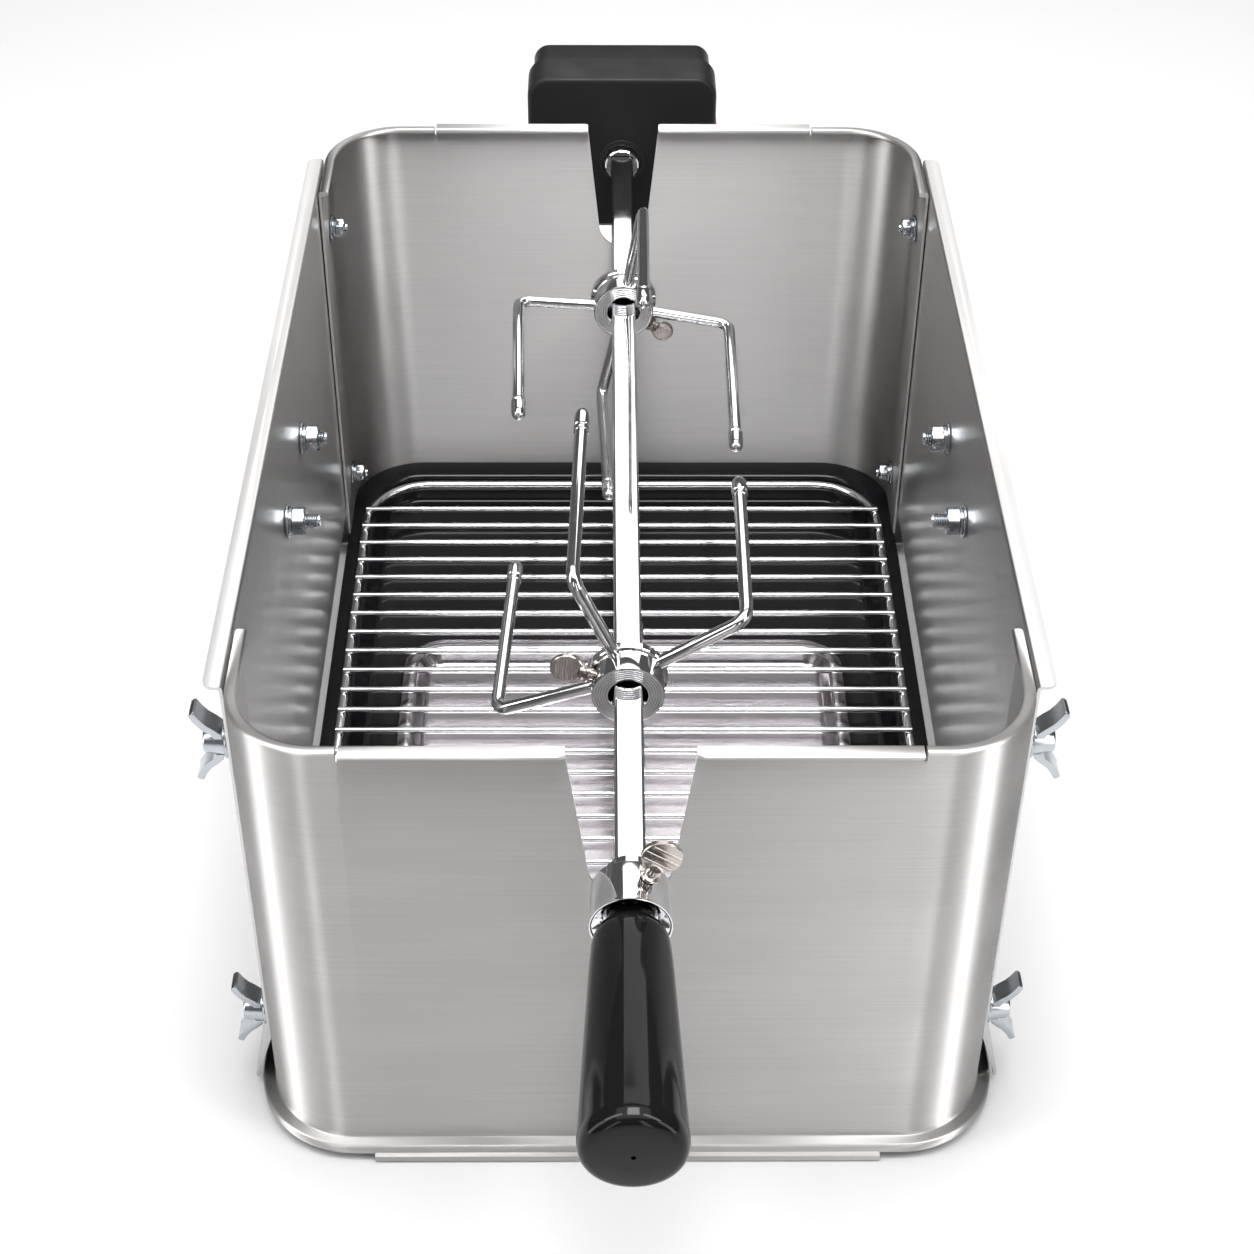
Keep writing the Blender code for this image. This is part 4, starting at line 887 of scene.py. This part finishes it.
# Studio --------------------------------------------------------------------------------------
def softbox(name, azimuth, elevation, distance, size, radiance):
    """A rectangular light aimed at the box; azimuth 0 is behind the camera, 90 to the right."""
    a = math.radians(azimuth)
    e = math.radians(elevation)
    aim = Vector((0.0, 0.0, 0.1))
    place = aim + distance * Vector((math.sin(a) * math.cos(e), -math.cos(a) * math.cos(e), math.sin(e)))
    data = bpy.data.lights.new(name, "AREA")
    data.shape = "RECTANGLE"
    data.size, data.size_y = size
    data.energy = radiance * math.pi * size[0] * size[1]
    obj = bpy.data.objects.new(name, data)
    obj.location = place
    obj.rotation_euler = (aim - place).to_track_quat("-Z", "Y").to_euler()
    obj.visible_camera = False
    bpy.context.scene.collection.objects.link(obj)


def build_studio():
    """White sweep, a dim white surround and the softboxes."""
    scene = bpy.context.scene
    world = bpy.data.worlds.new("studio")
    world.use_nodes = True
    background = world.node_tree.nodes["Background"]
    background.inputs["Color"].default_value = (1.0, 1.0, 1.0, 1.0)
    background.inputs["Strength"].default_value = 0.1
    scene.world = world
    scene.view_settings.view_transform = "Standard"

    bpy.ops.mesh.primitive_plane_add(size=9.0, location=(0.0, 0.0, -0.0004))
    floor = bpy.context.object
    floor.name = "floor"
    paint = Shader("white_sweep", (0.68, 0.68, 0.685), 0.0, 0.6)
    cloud = paint.noise((1.0, 1.0, 1.0), size=30.0)
    paint.link(paint.ranged(cloud, 0.55, 0.65), paint.main.inputs["Roughness"])
    paint.main.inputs["Specular IOR Level"].default_value = 0.1
    floor.data.materials.append(paint.material)

    softbox("overhead", 0.0, 88.0, 2.1, (2.6, 2.6), 1.6)
    softbox("inner_top", 0.0, 88.0, 1.1, (0.4, 0.7), 13.0)
    softbox("back", 172.0, 40.0, 2.0, (1.5, 0.9), 2.0)
    for name, azimuth, width, radiance in (
            ("left", -68.0, 0.42, 4.3), ("right", 52.0, 0.42, 4.3),
            ("front_left", -22.0, 0.16, 3.0), ("front_right", 12.0, 0.16, 3.0)):
        softbox(name + "_low", azimuth, 8.0, 1.5, (width, 1.4), radiance)
    for name, azimuth in (("left", -72.0), ("right", 60.0)):
        softbox(name + "_high", azimuth, 52.0, 1.6, (0.3, 1.0), 8.0)


def build_camera():
    """Camera at the height, tilt and distance the object is looked at from."""
    pitch = math.radians(39.863)
    yaw = math.radians(0.711)
    roll = math.radians(0.441)
    ahead = Vector((math.sin(yaw) * math.cos(pitch), math.cos(yaw) * math.cos(pitch), -math.sin(pitch)))
    right = Vector((math.cos(yaw), -math.sin(yaw), 0.0))
    up = right.cross(ahead)
    tilted_right = math.cos(roll) * right + math.sin(roll) * up
    tilted_up = -math.sin(roll) * right + math.cos(roll) * up
    data = bpy.data.cameras.new("camera")
    data.sensor_width = 36.0
    data.lens = 66.23
    data.clip_start = 0.01
    camera = bpy.data.objects.new("camera", data)
    place = Matrix((tilted_right, tilted_up, -ahead)).transposed().to_4x4()
    place.translation = Vector((-0.0080, -0.7135, 0.6700))
    camera.matrix_world = place
    bpy.context.scene.collection.objects.link(camera)
    bpy.context.scene.camera = camera


build_camera()
paint_frame()
build_box()
build_basin()
build_grate()
build_spit()
build_fasteners()
build_bails()
motor_front_cover()
motor_rear_cover()
build_studio()
